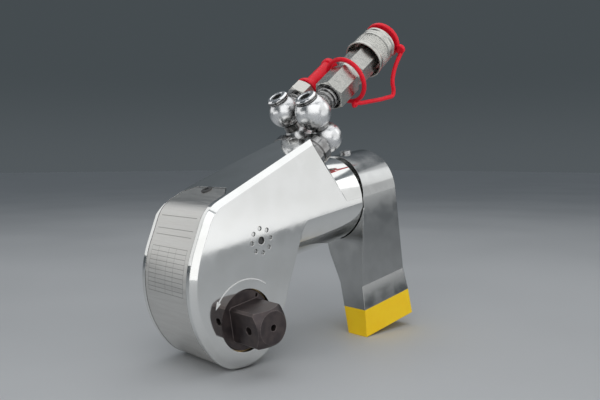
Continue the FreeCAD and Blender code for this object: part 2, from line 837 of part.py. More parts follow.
def make_ratchet():
    """Toothed wheel on the drive's splines."""
    body = new_body("ratchet_wheel")
    turned_on_y(body, [("drive_spline + fit_gap", wall + " + 0.6"), ("hub_radius", wall + " + 0.6"),
                       ("hub_radius", ratchet_near), ("ratchet_tip", ratchet_near), ("ratchet_tip", ratchet_far),
                       ("hub_radius", ratchet_far), ("hub_radius", slot_far + " - 0.6"),
                       ("drive_spline + fit_gap", slot_far + " - 0.6")])
    step = "360/ratchet_teeth"
    gap = [polar("ratchet_root", "0"), polar("ratchet_tip + 0.6", "-0.06*" + step),
           polar("ratchet_tip + 0.6", "0.88*" + step), polar("ratchet_tip", "0.82*" + step)]
    groove = extrude(body, "XZ_Plane", ratchet_near + " - 1", ratchet_far + " + 1", gap, cut=True)
    repeat(body, groove, "ratchet_teeth")
    place(body)


def crank_outline():
    """Side outline of a crank plate, its arm along x."""
    corner = "sqrt(crank_ring^2 - crank_eye^2)"
    return [(corner, "-(crank_eye)", ("centre_x", "0", "ccw")),
            ("crank_radius", "-(crank_eye)"),
            ("crank_radius", "crank_eye", ("centre_x", "crank_radius", "ccw")),
            (corner, "crank_eye")]


def make_crank():
    """Two crank plates with their pins and the drive pawl between them."""
    turn = "90 - crank_rest"
    sides = {"near": (wall + " + 1", wall + " + 1 + crank_thick"),
             "far": (slot_far + " - 1 - crank_thick", slot_far + " - 1")}
    for side, (low, high) in sides.items():
        body = new_body("crank_plate_" + side)
        extrude(body, "XZ_Plane", low, high, crank_outline())
        extrude(body, "XZ_Plane", low + " - 1", high + " + 1", ("0", "0", "hub_radius + run_gap"), cut=True)
        for spot, radius in (("crank_radius", "rod_pin_radius"), ("pawl_pin_place", "pawl_pin_radius"),
                             ("spacer_place", "spacer_radius")):
            extrude(body, "XZ_Plane", low + " - 1", high + " + 1", (spot, "0", radius + " + fit_gap"), cut=True)
        place(body, turn=turn)
    for label, spot, radius in (("rod_pin", "crank_radius", "rod_pin_radius"),
                                ("drive_pawl_pin", "pawl_pin_place", "pawl_pin_radius"),
                                ("crank_spacer_pin", "spacer_place", "spacer_radius")):
        pin = new_body(label)
        extrude(pin, "XZ_Plane", wall + " + 1.2", slot_far + " - 1.2", (spot, "0", radius))
        place(pin, turn=turn)


def make_drive_pawl():
    """Pawl that hangs between the crank plates, drawn just clear of the teeth."""
    body = new_body("drive_pawl")
    pivot = "pawl_pin_place"
    outline = [
        polar("pawl_reach", "pawl_tip_turn"),
        (pivot + " - 3.4", "-(pawl_boss)*0.8"),
        (pivot + " + 3.4", "pawl_boss*0.75", ("radius", "pawl_boss", "ccw")),
        polar("pawl_reach + pawl_thick", "pawl_heel_turn + 2"),
        polar("pawl_reach", "pawl_heel_turn"),
    ]
    extrude(body, "XZ_Plane", middle_near, middle_far, outline)
    extrude(body, "XZ_Plane", middle_near + " - 1", middle_far + " + 1",
            (pivot, "0", "pawl_pin_radius + run_gap"), cut=True)
    place(body, turn="90 - crank_rest")


def make_reaction_pawl():
    """Pawl with a round heel in the housing's socket, drawn just clear of the teeth."""
    body = new_body("reaction_pawl")
    outline = [
        ("heel_radius*0.6", "-(heel_radius)*0.8"),
        ("reaction_reach", "-(pawl_thick)"),
        ("reaction_reach + 0.8", "0"),
        ("heel_radius", "0"),
    ]
    extrude(body, "XZ_Plane", middle_near + " + 0.3", middle_far + " - 0.3", ("0", "0", "heel_radius"))
    extrude(body, "XZ_Plane", middle_near + " + 0.3", middle_far + " - 0.3", outline)
    place(body, x=heel[0], z=heel[1], turn="heel_turn")


def make_cylinder():
    """Piston, rod, seals, gland and end cap on the cylinder axis."""
    seat = {"y": half, "z": "axis_z"}
    front = "piston_rear - piston_length"
    rod = new_body("piston_rod")
    turned(rod, [(rod_pin[0], "0"), (rod_pin[0], "rod_radius"), (front, "rod_radius"),
                 (front, "piston_spigot"), ("piston_rear + piston_nut_length + 1", "piston_spigot"),
                 ("piston_rear + piston_nut_length + 1", "0")])
    eye_half = "(ratchet_width/2 - 0.6)"
    extrude(rod, "XZ_Plane", "-" + eye_half, eye_half, (rod_pin[0], "0", "rod_eye"))
    slot = "(rod_pin_radius + run_gap + 0.05)"
    x_low = "%s - %s" % (rod_pin[0], slot)
    x_high = "%s + %s" % (rod_pin[0], slot)
    extrude(rod, "XZ_Plane", "-20", "20",
            [(x_low, "-(rod_slot)"), (x_high, "-(rod_slot)", ("centre_y", "-(rod_slot)", "ccw")),
             (x_high, "rod_slot + 0.2"), (x_low, "rod_slot + 0.2", ("centre_y", "rod_slot + 0.2", "ccw"))], cut=True)
    place(rod, **seat)
    piston = new_body("piston")
    turned(piston, [(front, "piston_spigot + fit_gap"), (front, "piston_radius - 0.8"),
                    (front + " + 0.8", "piston_radius"),
                    (front + " + piston_length/2 - seal_width/2", "piston_radius"),
                    (front + " + piston_length/2 - seal_width/2", "piston_radius - seal_depth"),
                    (front + " + piston_length/2 + seal_width/2", "piston_radius - seal_depth"),
                    (front + " + piston_length/2 + seal_width/2", "piston_radius"),
                    ("piston_rear - 0.8", "piston_radius"), ("piston_rear", "piston_radius - 0.8"),
                    ("piston_rear", "piston_spigot + fit_gap")])
    place(piston, **seat)
    seal = new_body("piston_seal")
    turned(seal, box_outline(front + " + piston_length/2 - seal_width/2 + 0.1", "piston_radius - seal_depth + 0.05",
                             front + " + piston_length/2 + seal_width/2 - 0.1", "bore_radius - 0.1"))
    place(seal, **seat)
    lock = new_body("piston_nut")
    extrude(lock, "YZ_Plane", "piston_rear", "piston_rear + piston_nut_length", hexagon("piston_nut*2"),
            ("0", "0", "piston_spigot + fit_gap"))
    place(lock, **seat)
    gland = new_body("rod_gland")
    turned(gland, [("bore_front", "rod_radius + 0.15"), ("bore_front", "bore_radius - fit_gap"),
                   ("bore_front + gland_length", "bore_radius - fit_gap"),
                   ("bore_front + gland_length", "rod_radius + 0.15"),
                   ("bore_front + gland_length/2 + 2", "rod_radius + 0.15"),
                   ("bore_front + gland_length/2 + 2", "rod_radius + 3"),
                   ("bore_front + gland_length/2 - 2", "rod_radius + 3"),
                   ("bore_front + gland_length/2 - 2", "rod_radius + 0.15")])
    place(gland, **seat)
    wiper = new_body("rod_seal")
    turned(wiper, box_outline("bore_front + gland_length/2 - 1.9", "rod_radius + 0.1",
                              "bore_front + gland_length/2 + 1.9", "rod_radius + 2.95"))
    place(wiper, **seat)
    cap = new_body("cylinder_end_cap")
    turned(cap, [("cap_nose", "0"), ("cap_nose", "bore_radius - fit_gap - 0.5"), ("cap_nose + 0.5", "bore_radius - fit_gap"),
                 ("cap_nose + 2", "bore_radius - fit_gap"), ("cap_nose + 2", "bore_radius - 2"),
                 ("cap_nose + 5", "bore_radius - 2"), ("cap_nose + 5", "bore_radius - fit_gap"),
                 ("cap_seat", "bore_radius - fit_gap"), ("cap_seat", "cap_radius - fit_gap"),
                 ("tail_end - 1.2", "cap_radius - fit_gap"), ("tail_end - 0.5", "cap_radius - 0.8"),
                 ("tail_end - 0.5", "0")])
    extrude(cap, "YZ_Plane", "cap_nose - 1", "piston_rear + piston_nut_length + 3", ("0", "0", "piston_spigot + 1"), cut=True)
    spanner = extrude(cap, "YZ_Plane", "tail_end - 5", "tail_end + 1", ("spanner_circle", "0", "spanner_hole"), cut=True)
    repeat(cap, spanner, 4)
    place(cap, **seat)
    ring = new_body("end_cap_seal")
    turned(ring, box_outline("cap_nose + 2.1", "bore_radius - 1.95", "cap_nose + 4.9", "bore_radius - 0.02"))
    place(ring, **seat)


def make_stop_pin():
    """Short pins in both side walls that the crank plates come back to."""
    pins = []
    for low, high in (("stop_recess", slot_near + " + 1 + crank_thick"),
                      (slot_far + " - 1 - crank_thick", "body_width - stop_recess")):
        pin = doc.addObject("PartDesign::Body", "crank_stop_pin")
        extrude(pin, "XZ_Plane", low, high, (stop[0], stop[1], "stop_radius"))
        place(pin)
        pins.append(pin)
    group_of("crank_stop_pins", pins)


def make_arm():
    """Reaction arm: splined ring, tapering leg and the steel of its foot."""
    body = new_body("reaction_arm")
    outline = [
        ("-" + half, "arm_kink_z"),
        ("-(foot_near)", "foot_top"),
        ("-(foot_far)", "foot_top"),
        ("-9", "-13.5"),
        ("4", "10.8"),
        ("7.4", "21"),
        ("24.9", "axis_z - 23.2"),
        (half, "axis_z", ("radius", half, "ccw")),
        ("-" + half, "axis_z", ("centre_y", "axis_z", "ccw")),
    ]
    extrude(body, "YZ_Plane", "arm_front - 28", "arm_back", outline, centre=(half, "0"))
    trim_arm(body)
    extrude(body, "YZ_Plane", "arm_front - 40", "arm_front", barrel_outline("arm_gap"), cut=True, centre=(half, "0"))
    extrude(body, "YZ_Plane", "arm_front - 1", "arm_back + 1", ("0", "0", "spline_root + spline_clearance"),
            cut=True, centre=(half, "axis_z"))
    turn_gap = "(%s)*pi/spline_teeth - (%s) + spline_clearance"
    root = turn_gap % ("spline_root", "spline_gap_root")
    tip = turn_gap % ("spline_tip", "spline_gap_tip")
    outline = [("-(%s)" % root, "spline_root - 1"), (root, "spline_root - 1"),
               (tip, "spline_tip + spline_clearance"), ("-(%s)" % tip, "spline_tip + spline_clearance")]
    turned_outline = rotated(outline, "180/spline_teeth")
    groove = extrude(body, "YZ_Plane", "arm_front - 1", "arm_back + 1", turned_outline, cut=True, centre=(half, "axis_z"))
    repeat(body, groove, "spline_teeth")
    top = "axis_z + %s" % half
    extrude(body, "XY_Plane", top + " - latch_depth", top + " + 1", ("latch_x", half, "latch_radius + run_gap"), cut=True)
    for spot in foot_bolt_places():
        extrude(body, "XY_Plane", "foot_top - 1", "foot_bottom + foot_bolt_recess + foot_bolt_length + 1",
                (spot[0], spot[1], "foot_bolt + fit_gap"), cut=True)
    place(body)


def rotated(outline, angle):
    """Corners turned about the sketch centre."""
    return [("(%s)*cos(%s) - (%s)*sin(%s)" % (x, angle, y, angle),
             "(%s)*sin(%s) + (%s)*cos(%s)" % (x, angle, y, angle)) for x, y in outline]


def trim_arm(body):
    """Leaning front face of the arm, the same for the leg and the foot."""
    front = "arm_front + 0.5 - arm_lean*(axis_z - (%s))"
    low = "(foot_bottom - 5)"
    loop = [(front % "axis_z + 40", "axis_z + 40"), ("arm_front - 60", "axis_z + 40"),
            ("arm_front - 60", low), (front % low, low)]
    extrude(body, "XZ_Plane", "-20", "body_width + 20", loop, cut=True)


def foot_bolt_places():
    """Places of the two bolts that hold the foot pad."""
    y = "%s - (foot_near + foot_far)/2 - 1" % half
    return [("arm_front - 4", y), ("arm_back - 12", y)]


def make_foot():
    """Foot pad under the arm, with its two bolts."""
    body = new_body("foot_pad")
    outline = [("-(foot_near)", "foot_top"), ("-(foot_sole_near)", "foot_bottom"),
               ("-(foot_sole_far)", "foot_bottom"), ("-(foot_far)", "foot_top")]
    extrude(body, "YZ_Plane", "arm_front - 28", "arm_back", outline, centre=(half, "0"))
    trim_arm(body)
    for spot in foot_bolt_places():
        extrude(body, "XY_Plane", "foot_bottom - 1", "foot_top + 1", (spot[0], spot[1], "foot_bolt + fit_gap"), cut=True)
        extrude(body, "XY_Plane", "foot_bottom - 1", "foot_bottom + foot_bolt_recess",
                (spot[0], spot[1], "foot_bolt_head + run_gap"), cut=True)
    place(body)
    screws("foot_bolts", [(x, y, "foot_bottom + foot_bolt_recess", "270") for x, y in foot_bolt_places()],
           "foot_bolt", "foot_bolt_head", "foot_bolt_length", "foot_bolt_head_height", "foot_bolt_socket")


def make_latch():
    """Spring button that keeps the arm on its splines."""
    body = new_body("arm_latch_button")
    top = "axis_z + %s" % half
    extrude(body, "XY_Plane", top + " - latch_depth + latch_travel + 0.3", top + " + latch_height",
            ("latch_x", half, "latch_radius"))
    place(body)


def make_swivels():
    """Two-axis swivels of both hose lines."""
    for side, port in PORTS.items():
        base = "-(ball_height) - spot_depth"
        post = new_body("swivel_post_" + side)
        turned(post, [(base + " - post_spigot_length", "0"), (base + " - post_spigot_length", "post_spigot"),
                      (base, "post_spigot"), (base, "post_radius"), (base + " + 5", "post_radius"),
                      (base + " + 5.6", "post_radius - 1.4"), (base + " + 7", "post_radius - 1.4"),
                      (base + " + 7.6", "post_radius"), ("-(post_top) - 4", "post_radius"),
                      ("-(post_top)", "post_radius - 3"), ("-(post_top)", "journal_radius"),
                      ("-(post_top) + journal_length", "journal_radius"), ("-(post_top) + journal_length", "0")])
        place(post, x=lower_ball_centre[0], y=port["y"], z=lower_ball_centre[1], turn="port_turn")

        ball = new_body("lower_ball_" + side)
        seat = "(%s - ball_flat)" % port["neck"]
        top = "(%s + ball_flat + run_gap)" % port["neck"]
        root = "sqrt(lower_ball^2 - neck_radius^2)"
        turned_on_z(ball, [("0", "-(lower_ball)"),
                           ("neck_radius", root, ("centre_y", "0", "ccw")),
                           ("neck_radius", seat + " - run_gap"), ("journal_radius + 0.4", seat + " - run_gap"),
                           ("journal_radius + 0.4", top), ("0", top)])
        extrude(ball, "YZ_Plane", "-(lower_ball) - 2", "-(post_top) + run_gap", ("0", "0", "lower_ball + 2"), cut=True)
        extrude(ball, "YZ_Plane", "-(lower_ball) - 2", "-(post_top) + journal_length + run_gap",
                ("0", "0", "journal_radius + run_gap"), cut=True)
        extrude(ball, "XY_Plane", top + " - plug_shank_length - 1", top + " + 1", ("0", "0", "plug_shank + fit_gap"), cut=True)
        place(ball, x=lower_ball_centre[0], y=port["y"], z=lower_ball_centre[1], turn="port_turn")

        centre = upper_ball_centre(side)
        upper = new_body("upper_ball_" + side)
        radius = port["ball"]
        flat = "sqrt((%s)^2 - ball_flat^2)" % radius
        turned_on_z(upper, [("journal_radius + 0.4 + run_gap", "-(ball_flat)"), (flat, "-(ball_flat)"),
                            (flat, "ball_flat", ("centre_x", "0", "ccw")), ("journal_radius + 0.4 + run_gap", "ball_flat")])
        spot = neck_seat(side)
        turned(upper, [(spot + " - stub_length - fit_gap", "0"), (spot + " + 9", "0"),
                       (spot + " + 9", port["line_neck"] + " + 0.5"), (spot, port["line_neck"] + " + 0.5"),
                       (spot, "stub_radius + fit_gap"), (spot + " - stub_length - fit_gap", "stub_radius + fit_gap")],
               cut=True)
        place(upper, x=centre[0], y=port["y"], z=centre[1], turn="port_turn")

        plug = new_body("swivel_plug_" + side)
        low = "ball_flat + run_gap"
        turned_on_z(plug, [("0", low + " - plug_shank_length"), ("plug_shank", low + " - plug_shank_length"),
                           ("plug_shank", low), ("plug_radius - 0.6", low), ("plug_radius", low + " + 0.6"),
                           ("plug_radius", low + " + plug_height - 1"), ("plug_radius - 1", low + " + plug_height"),
                           ("0", low + " + plug_height")])
        extrude(plug, "XY_Plane", low + " + 0.8", low + " + plug_height + 1", hexagon("plug_socket"), cut=True)
        place(plug, x=centre[0], y=port["y"], z=centre[1], turn="port_turn")


def on_line(piece, side):
    """Place a coupler piece with its x axis along one hose line."""
    centre = upper_ball_centre(side)
    place(piece, x=centre[0], y=PORTS[side]["y"], z=centre[1], turn="port_turn")


def make_male_coupler():
    """Hose line on the far side: adapter, nipple and dust cap."""
    start = neck_seat("far")
    adapter = new_body("male_adapter")
    nut(adapter, "male_nut_flats", "male_nut_start", "male_nut_end")
    turned(adapter, [(start + " - stub_length", "0"), (start + " - stub_length", "stub_radius"), (start, "stub_radius"),
                     (start, "male_neck"), ("male_nut_start + 1", "male_neck"), ("male_nut_start + 1", "0")])
    on_line(adapter, "far")
    nipple = new_body("male_nipple")
    end = "male_nut_end"
    turned(nipple, [(end, "0"), (end, "nipple_radius + 2.5"), (end + " + 2", "nipple_radius + 2.5"),
                    (end + " + 2.6", "nipple_radius"), (end + " + 14", "nipple_radius"),
                    (end + " + 15", "nipple_radius - 1"), (end + " + 18", "nipple_radius - 1"),
                    (end + " + 19", "nipple_radius"), ("nipple_end - 2", "nipple_radius"),
                    ("nipple_end", "nipple_radius - 1.5"), ("nipple_end", "0")])
    on_line(nipple, "far")
    cap = new_body("male_dust_cap")
    turned(cap, [(end + " + 2.3", "male_cap_flange - 2"), (end + " + 2.3", "male_cap_flange"),
                 (end + " + 4.2", "male_cap_flange"), (end + " + 4.8", "male_cap_flange - 1.2"),
                 (end + " + 6", "male_cap_flange - 1.2"), (end + " + 7.5", "male_cap_body"),
                 ("male_cap_end - male_cap_head_length", "male_cap_body"),
                 ("male_cap_end - male_cap_head_length + 0.6", "male_cap_head"),
                 ("male_cap_end - 1", "male_cap_head"), ("male_cap_end", "male_cap_head - 1"), ("male_cap_end", "0"),
                 ("nipple_end + 0.5", "0"), ("nipple_end + 0.5", "nipple_radius + 0.3"),
                 (end + " + 4", "nipple_radius + 0.3"), (end + " + 2.3", "nipple_radius + 2.9")])
    ring_side = "-(port_far - port_near - tether_radius - tether_wire - run_gap)"
    height = "-(tether_drop) - (far_neck - near_neck)"
    root = "male_cap_end - male_cap_head_length + 1"
    extrude(cap, "XY_Plane", height + " - tether_tab", height + " + tether_tab",
            [("tether_place - tether_wire", ring_side), ("tether_place + tether_wire", ring_side),
             (root + " + 2.5", "-(male_cap_head)*0.75"), (root, "-(male_cap_head)*0.75")])
    on_line(cap, "far")


def make_female_coupler():
    """Hose line on the near side: adapter, coupler body, sleeve, snap ring and dust cap."""
    start = neck_seat("near")
    adapter = new_body("female_adapter")
    nut(adapter, "female_nut_flats", "female_nut_start", "female_nut_end")
    turned(adapter, [(start + " - stub_length", "0"), (start + " - stub_length", "stub_radius"), (start, "stub_radius"),
                     (start, "female_neck"), ("female_nut_start + 1", "female_neck"), ("female_nut_start + 1", "0")])
    on_line(adapter, "near")

    body = new_body("female_body")
    nut(body, "coupler_flats", "cone_end - 1", "coupler_hex_end")
    turned(body, [("coupler_turned_start", "coupler_turned"), ("coupler_hex_end + 1", "coupler_turned"),
                  ("coupler_hex_end + 1", "coupler_flats"), ("coupler_turned_start - 1", "coupler_flats")], cut=True)
    turned(body, [("female_nut_end", "0"), ("female_nut_end", "female_nut_flats/2 - 0.5"),
                  ("cone_end - 1", "coupler_flats/2 - 0.6"), ("cone_end", "coupler_flats/2 - 0.6"), ("cone_end", "0")])
    turned(body, [("coupler_hex_end - 1", "0"), ("coupler_hex_end - 1", "barrel_radius"),
                  ("barrel_front - 3", "barrel_radius"), ("barrel_front - 3", "barrel_radius - 1.2"),
                  ("barrel_front - 1.4", "barrel_radius - 1.2"), ("barrel_front - 1.4", "barrel_radius"),
                  ("barrel_front", "barrel_radius"), ("barrel_front", "0")])
    extrude(body, "YZ_Plane", "barrel_front - coupler_bore_depth", "barrel_front + 1", ("0", "0", "coupler_bore"), cut=True)
    on_line(body, "near")

    sleeve = new_body("female_sleeve")
    step = "coupler_hex_end + sleeve_travel + 0.5"
    sleeve_end = "barrel_front - sleeve_setback"
    turned(sleeve, [("sleeve_start", "sleeve_inner"), ("sleeve_start", "sleeve_flare - 0.3"),
                    ("sleeve_start + 0.4", "sleeve_flare"), ("sleeve_start + 3", "sleeve_flare"),
                    ("sleeve_start + 5", "sleeve_radius + 0.4"), ("sleeve_start + 14", "sleeve_radius + 0.4"),
                    ("sleeve_start + 15", "sleeve_radius - 0.9"), ("sleeve_start + 17", "sleeve_radius - 0.9"),
                    ("sleeve_start + 18", "sleeve_radius + 0.2"), (sleeve_end + " - 6", "sleeve_radius + 0.2"),
                    (sleeve_end + " - 5", "sleeve_radius - 0.8"), (sleeve_end + " - 3.6", "sleeve_radius - 0.8"),
                    (sleeve_end + " - 3", "sleeve_radius"), (sleeve_end + " - 1", "sleeve_radius"),
                    (sleeve_end, "sleeve_radius - 1"), (sleeve_end, "barrel_radius + run_gap"),
                    (step, "barrel_radius + run_gap"), (step, "sleeve_inner")])
    on_line(sleeve, "near")

    ring = new_body("female_snap_ring")
    turned(ring, box_outline("barrel_front - 2.9", "barrel_radius - 1.15", "barrel_front - 1.5", "snap_ring"))
    extrude(ring, "YZ_Plane", "barrel_front - 4", "barrel_front", box_outline("-1.5", "0", "1.5", "20"), cut=True)
    on_line(ring, "near")

    cap = new_body("female_dust_cap")
    face = "barrel_front + 0.3"
    turned(cap, [(face + " - 12", "0"), (face + " - 12", "dust_plug - 1"), (face + " - 11", "dust_plug"),
                 (face, "dust_plug"), (face, "dust_cap_radius - 0.5"), (face + " + 0.5", "dust_cap_radius"),
                 ("dust_cap_end - 1.5", "dust_cap_radius"), ("dust_cap_end", "dust_cap_radius - 2.5"), ("dust_cap_end", "0")])
    lug = polar("dust_cap_radius + lug_radius*0.4", "lug_turn")
    extrude(cap, "YZ_Plane", face, face + " + lug_thick", (lug[0], lug[1], "lug_radius"))
    on_line(cap, "near")


def make_straps():
    """Ring that hangs round the near coupler, and the strap from it to that coupler's dust cap."""
    ring = new_body("male_cap_tether")
    revolve(ring, "XZ_Plane", "H_Axis", ("0", "tether_radius", "tether_wire"),
            centre=("tether_place", "-(tether_drop)"), turn="-(tether_turn)")
    on_line(ring, "near")
    strap = doc.addObject("Part::Feature", "female_cap_strap")
    strap.Shape = tube([Vector(*point) for point in STRAP_ROUTE], value("strap_radius"))
    pieces.append(strap)
    on_line(strap, "near")


def tube(points, radius):
    """Round bar along straight runs joined by arcs that touch them."""
    edges = []
    last = points[0]
    for before, corner, after in zip(points, points[1:], points[2:]):
        inward = (before - corner).normalize()
        outward = (after - corner).normalize()
        reach = 0.45 * min((before - corner).Length, (after - corner).Length)
        half_turn = (math.pi - inward.getAngle(outward)) / 2
        bend = reach / math.tan(half_turn)
        middle = corner + (inward + outward).normalize() * (bend / math.cos(half_turn) - bend)
        edges.append(Part.LineSegment(last, corner + inward * reach).toShape())
        edges.append(Part.Arc(corner + inward * reach, middle, corner + outward * reach).toShape())
        last = corner + outward * reach
    edges.append(Part.LineSegment(last, points[-1]).toShape())
    profile = Part.Wire(Part.makeCircle(radius, points[0], points[1] - points[0]))
    return Part.Wire(edges).makePipeShell([profile], True, False)


make_housing()
make_plate()
make_bushes()
make_drive()
make_retainer()
make_ratchet()
make_crank()
make_drive_pawl()
make_reaction_pawl()
make_cylinder()
make_stop_pin()
make_arm()
make_foot()
make_latch()
make_swivels()
make_male_coupler()
make_female_coupler()
make_straps()

doc.recompute()
for item in doc.Objects:
    if "Invalid" in item.State or "Error" in item.State:
        raise RuntimeError("%s could not be built" % item.Label)
os.makedirs("parts", exist_ok=True)
for piece in pieces:
    if piece.Shape.isNull() or not piece.Shape.isValid():
        raise RuntimeError("%s has no valid shape" % piece.Label)
for piece in pieces:
    piece.Shape.exportStep("parts/%s.step" % piece.Label)
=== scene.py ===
import json
import math

import bpy
import bmesh
from mathutils import Matrix, Vector


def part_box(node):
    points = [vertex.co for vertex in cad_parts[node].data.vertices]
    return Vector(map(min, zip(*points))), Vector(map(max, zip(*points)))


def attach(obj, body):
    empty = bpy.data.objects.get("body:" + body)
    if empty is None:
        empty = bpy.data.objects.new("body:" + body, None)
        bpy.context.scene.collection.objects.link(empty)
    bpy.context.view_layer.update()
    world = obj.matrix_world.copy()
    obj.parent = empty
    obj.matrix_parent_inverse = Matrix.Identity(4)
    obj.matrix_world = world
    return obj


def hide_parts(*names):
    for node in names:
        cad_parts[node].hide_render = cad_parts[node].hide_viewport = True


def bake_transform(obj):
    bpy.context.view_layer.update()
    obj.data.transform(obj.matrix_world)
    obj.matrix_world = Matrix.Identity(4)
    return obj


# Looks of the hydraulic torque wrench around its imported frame. Lengths in this script are in
# millimetres until they reach a mesh, and the scene itself is in metres.
# "Tool axes" run along and across the cylinder, which leans up from the floor by TILT.
# "Line axes" run out along one hose line, from the centre of its upper ball.
# A profile is a list of (x, radius) or (x, radius, fillet) that is turned about the x axis.

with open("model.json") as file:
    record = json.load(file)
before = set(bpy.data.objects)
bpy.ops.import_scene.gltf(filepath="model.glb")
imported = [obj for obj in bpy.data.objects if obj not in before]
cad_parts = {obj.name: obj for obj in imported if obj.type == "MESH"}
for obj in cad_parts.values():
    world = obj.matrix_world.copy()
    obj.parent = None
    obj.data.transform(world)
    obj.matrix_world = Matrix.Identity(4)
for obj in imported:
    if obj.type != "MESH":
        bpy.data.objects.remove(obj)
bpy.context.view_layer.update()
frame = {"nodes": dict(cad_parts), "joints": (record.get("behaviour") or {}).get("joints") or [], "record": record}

MM = 0.001
TILT = 9.65
PORT_TURN = 28.5

UPPER_BALL_RADIUS = {"near": 14.7, "far": 13.3}
LOWER_BALL_RADIUS = 13.0
# Distances from a lower ball's centre between which its chrome darkens into painted shade on the neck
NECK_SHADE = (LOWER_BALL_RADIUS + 0.1, LOWER_BALL_RADIUS + 0.4)


def joint_place(name):
    """Place of one of the frame's joints, in metres."""
    return next(tuple(joint["pos_m"]) for joint in frame["joints"] if joint["name"] == name)


def axes_at(place, angle):
    """Matrix of axes at a place in metres, whose x axis rises by an angle."""
    return Matrix.Translation(place) @ Matrix.Rotation(-math.radians(angle), 4, "Y")


# The joints of the swivels lie at the centres of the balls.
UPPER_BALLS = {side: joint_place(side + "_line_turn") for side in UPPER_BALL_RADIUS}
LOWER_BALLS = {side: joint_place(side + "_swivel_turn") for side in UPPER_BALL_RADIUS}
TOOL = axes_at((0, 0, 0), TILT)
LINES = {side: axes_at(centre, TILT + PORT_TURN) for side, centre in UPPER_BALLS.items()}
LINE_UP = {side: axes_at(centre, TILT + PORT_TURN + 90) for side, centre in UPPER_BALLS.items()}


# Shader nodes. A mix node's colours are told apart by the numbers of its sockets.
MIX_FACTOR = 0
MIX_COLOURS = (6, 7)
MIX_RESULT = 2
NODE_SAMPLES = 6


def feed(tree, socket, value):
    """Set a socket to a plain value, or link the socket that feeds it."""
    if isinstance(value, bpy.types.NodeSocket):
        tree.links.new(value, socket)
    else:
        socket.default_value = value


def add_node(tree, kind, settings=None, **inputs):
    """Add a node. Each input is a plain value, or the socket that feeds it."""
    made = tree.nodes.new(kind)
    for name, setting in (settings or {}).items():
        setattr(made, name, setting)
    for name, value in inputs.items():
        feed(tree, made.inputs[name.replace("_", " ")], value)
    return made


def calculate(tree, operation, first, second=0.0):
    """Socket with the result of a sum on two values or sockets."""
    made = add_node(tree, "ShaderNodeMath", {"operation": operation})
    feed(tree, made.inputs[0], first)
    feed(tree, made.inputs[1], second)
    return made.outputs[0]


def product(tree, *values):
    """Socket with the product of several sockets or values."""
    total = values[0]
    for value in values[1:]:
        total = calculate(tree, "MULTIPLY", total, value)
    return total


def vector_result(tree, operation, first, second=None, output="Vector"):
    """Socket with the result of a sum on two vectors."""
    made = add_node(tree, "ShaderNodeVectorMath", {"operation": operation})
    feed(tree, made.inputs[0], first)
    if second is not None:
        feed(tree, made.inputs[1], second)
    return made.outputs[output]


def ramp(tree, value, low, high, start=0.0, end=1.0):
    """Socket that goes from start to end as the value goes from low to high."""
    made = add_node(tree, "ShaderNodeMapRange", {"interpolation_type": "SMOOTHSTEP"}, Value=value,
                    From_Min=low, From_Max=high, To_Min=start, To_Max=end)
    return made.outputs["Result"]


def blended(tree, factor, first, second):
    """Socket with a colour between two colours or sockets."""
    made = add_node(tree, "ShaderNodeMix", {"data_type": "RGBA"})
    feed(tree, made.inputs[MIX_FACTOR], factor)
    for index, value in zip(MIX_COLOURS, (first, second)):
        feed(tree, made.inputs[index], value if isinstance(value, bpy.types.NodeSocket) else (*value, 1))
    return made.outputs[MIX_RESULT]


def start_material(name, colour, metallic, roughness):
    """Material with its colour and gloss set, its node tree and its shader."""
    material = bpy.data.materials.new(name)
    material.use_nodes = True
    material.diffuse_color = (*colour, 1)
    tree = material.node_tree
    shader = tree.nodes["Principled BSDF"]
    shader.inputs["Base Color"].default_value = (*colour, 1)
    shader.inputs["Metallic"].default_value = metallic
    shader.inputs["Roughness"].default_value = roughness
    return material, tree, shader


def object_place(tree):
    """Socket with the place in the piece's own coordinates, in metres."""
    return add_node(tree, "ShaderNodeTexCoord").outputs["Object"]


def noise(tree, scale, detail=3.0, stretch=(1, 1, 1), turn=0.0):
    """Noise in the piece's own coordinates, per metre, stretched along axes turned about Y."""
    mapped = add_node(tree, "ShaderNodeMapping", Vector=object_place(tree), Scale=stretch,
                      Rotation=(0, math.radians(turn), 0))
    made = add_node(tree, "ShaderNodeTexNoise", Vector=mapped.outputs[0], Scale=scale, Detail=detail)
    return made.outputs["Fac"]


def vary(tree, shader, value, colours=None, roughness=None, low=0.35, high=0.65):
    """Let a value from 0 to 1 move the colour and the roughness between two ends."""
    if colours:
        factor = ramp(tree, value, low, high)
        tree.links.new(blended(tree, factor, *colours), shader.inputs["Base Color"])
    if roughness:
        tree.links.new(ramp(tree, value, low, high, *roughness), shader.inputs["Roughness"])


def softened_normal(tree, radius):
    """Socket with the surface's direction, rounded over corners of a radius in millimetres."""
    return add_node(tree, "ShaderNodeBevel", {"samples": NODE_SAMPLES}, Radius=radius * MM).outputs[0]


def bump(tree, shader, height, distance, strength=1.0, corner=0.0):
    """Surface relief from a height of 0 to 1, over softened corners of a radius in millimetres."""
    made = add_node(tree, "ShaderNodeBump", Height=height, Distance=distance * MM, Strength=strength)
    if corner:
        tree.links.new(softened_normal(tree, corner), made.inputs["Normal"])
    tree.links.new(made.outputs[0], shader.inputs["Normal"])


def sharp_edge_mask(tree, radius):
    """Socket that is 1 along sharp edges and 0 on open faces."""
    plain = add_node(tree, "ShaderNodeNewGeometry").outputs["Normal"]
    likeness = vector_result(tree, "DOT_PRODUCT", softened_normal(tree, radius), plain, "Value")
    return ramp(tree, likeness, 0.995, 0.86)


def open_face(tree, reach, low, high):
    """Socket that is 1 on open faces and 0 in holes and seams that are narrower than a reach, from ambient
    occlusion; it masks painted shade.
    """
    light = add_node(tree, "ShaderNodeAmbientOcclusion", {"samples": NODE_SAMPLES}, Distance=reach * MM)
    return ramp(tree, light.outputs["AO"], low, high)


# Finishes of the metals

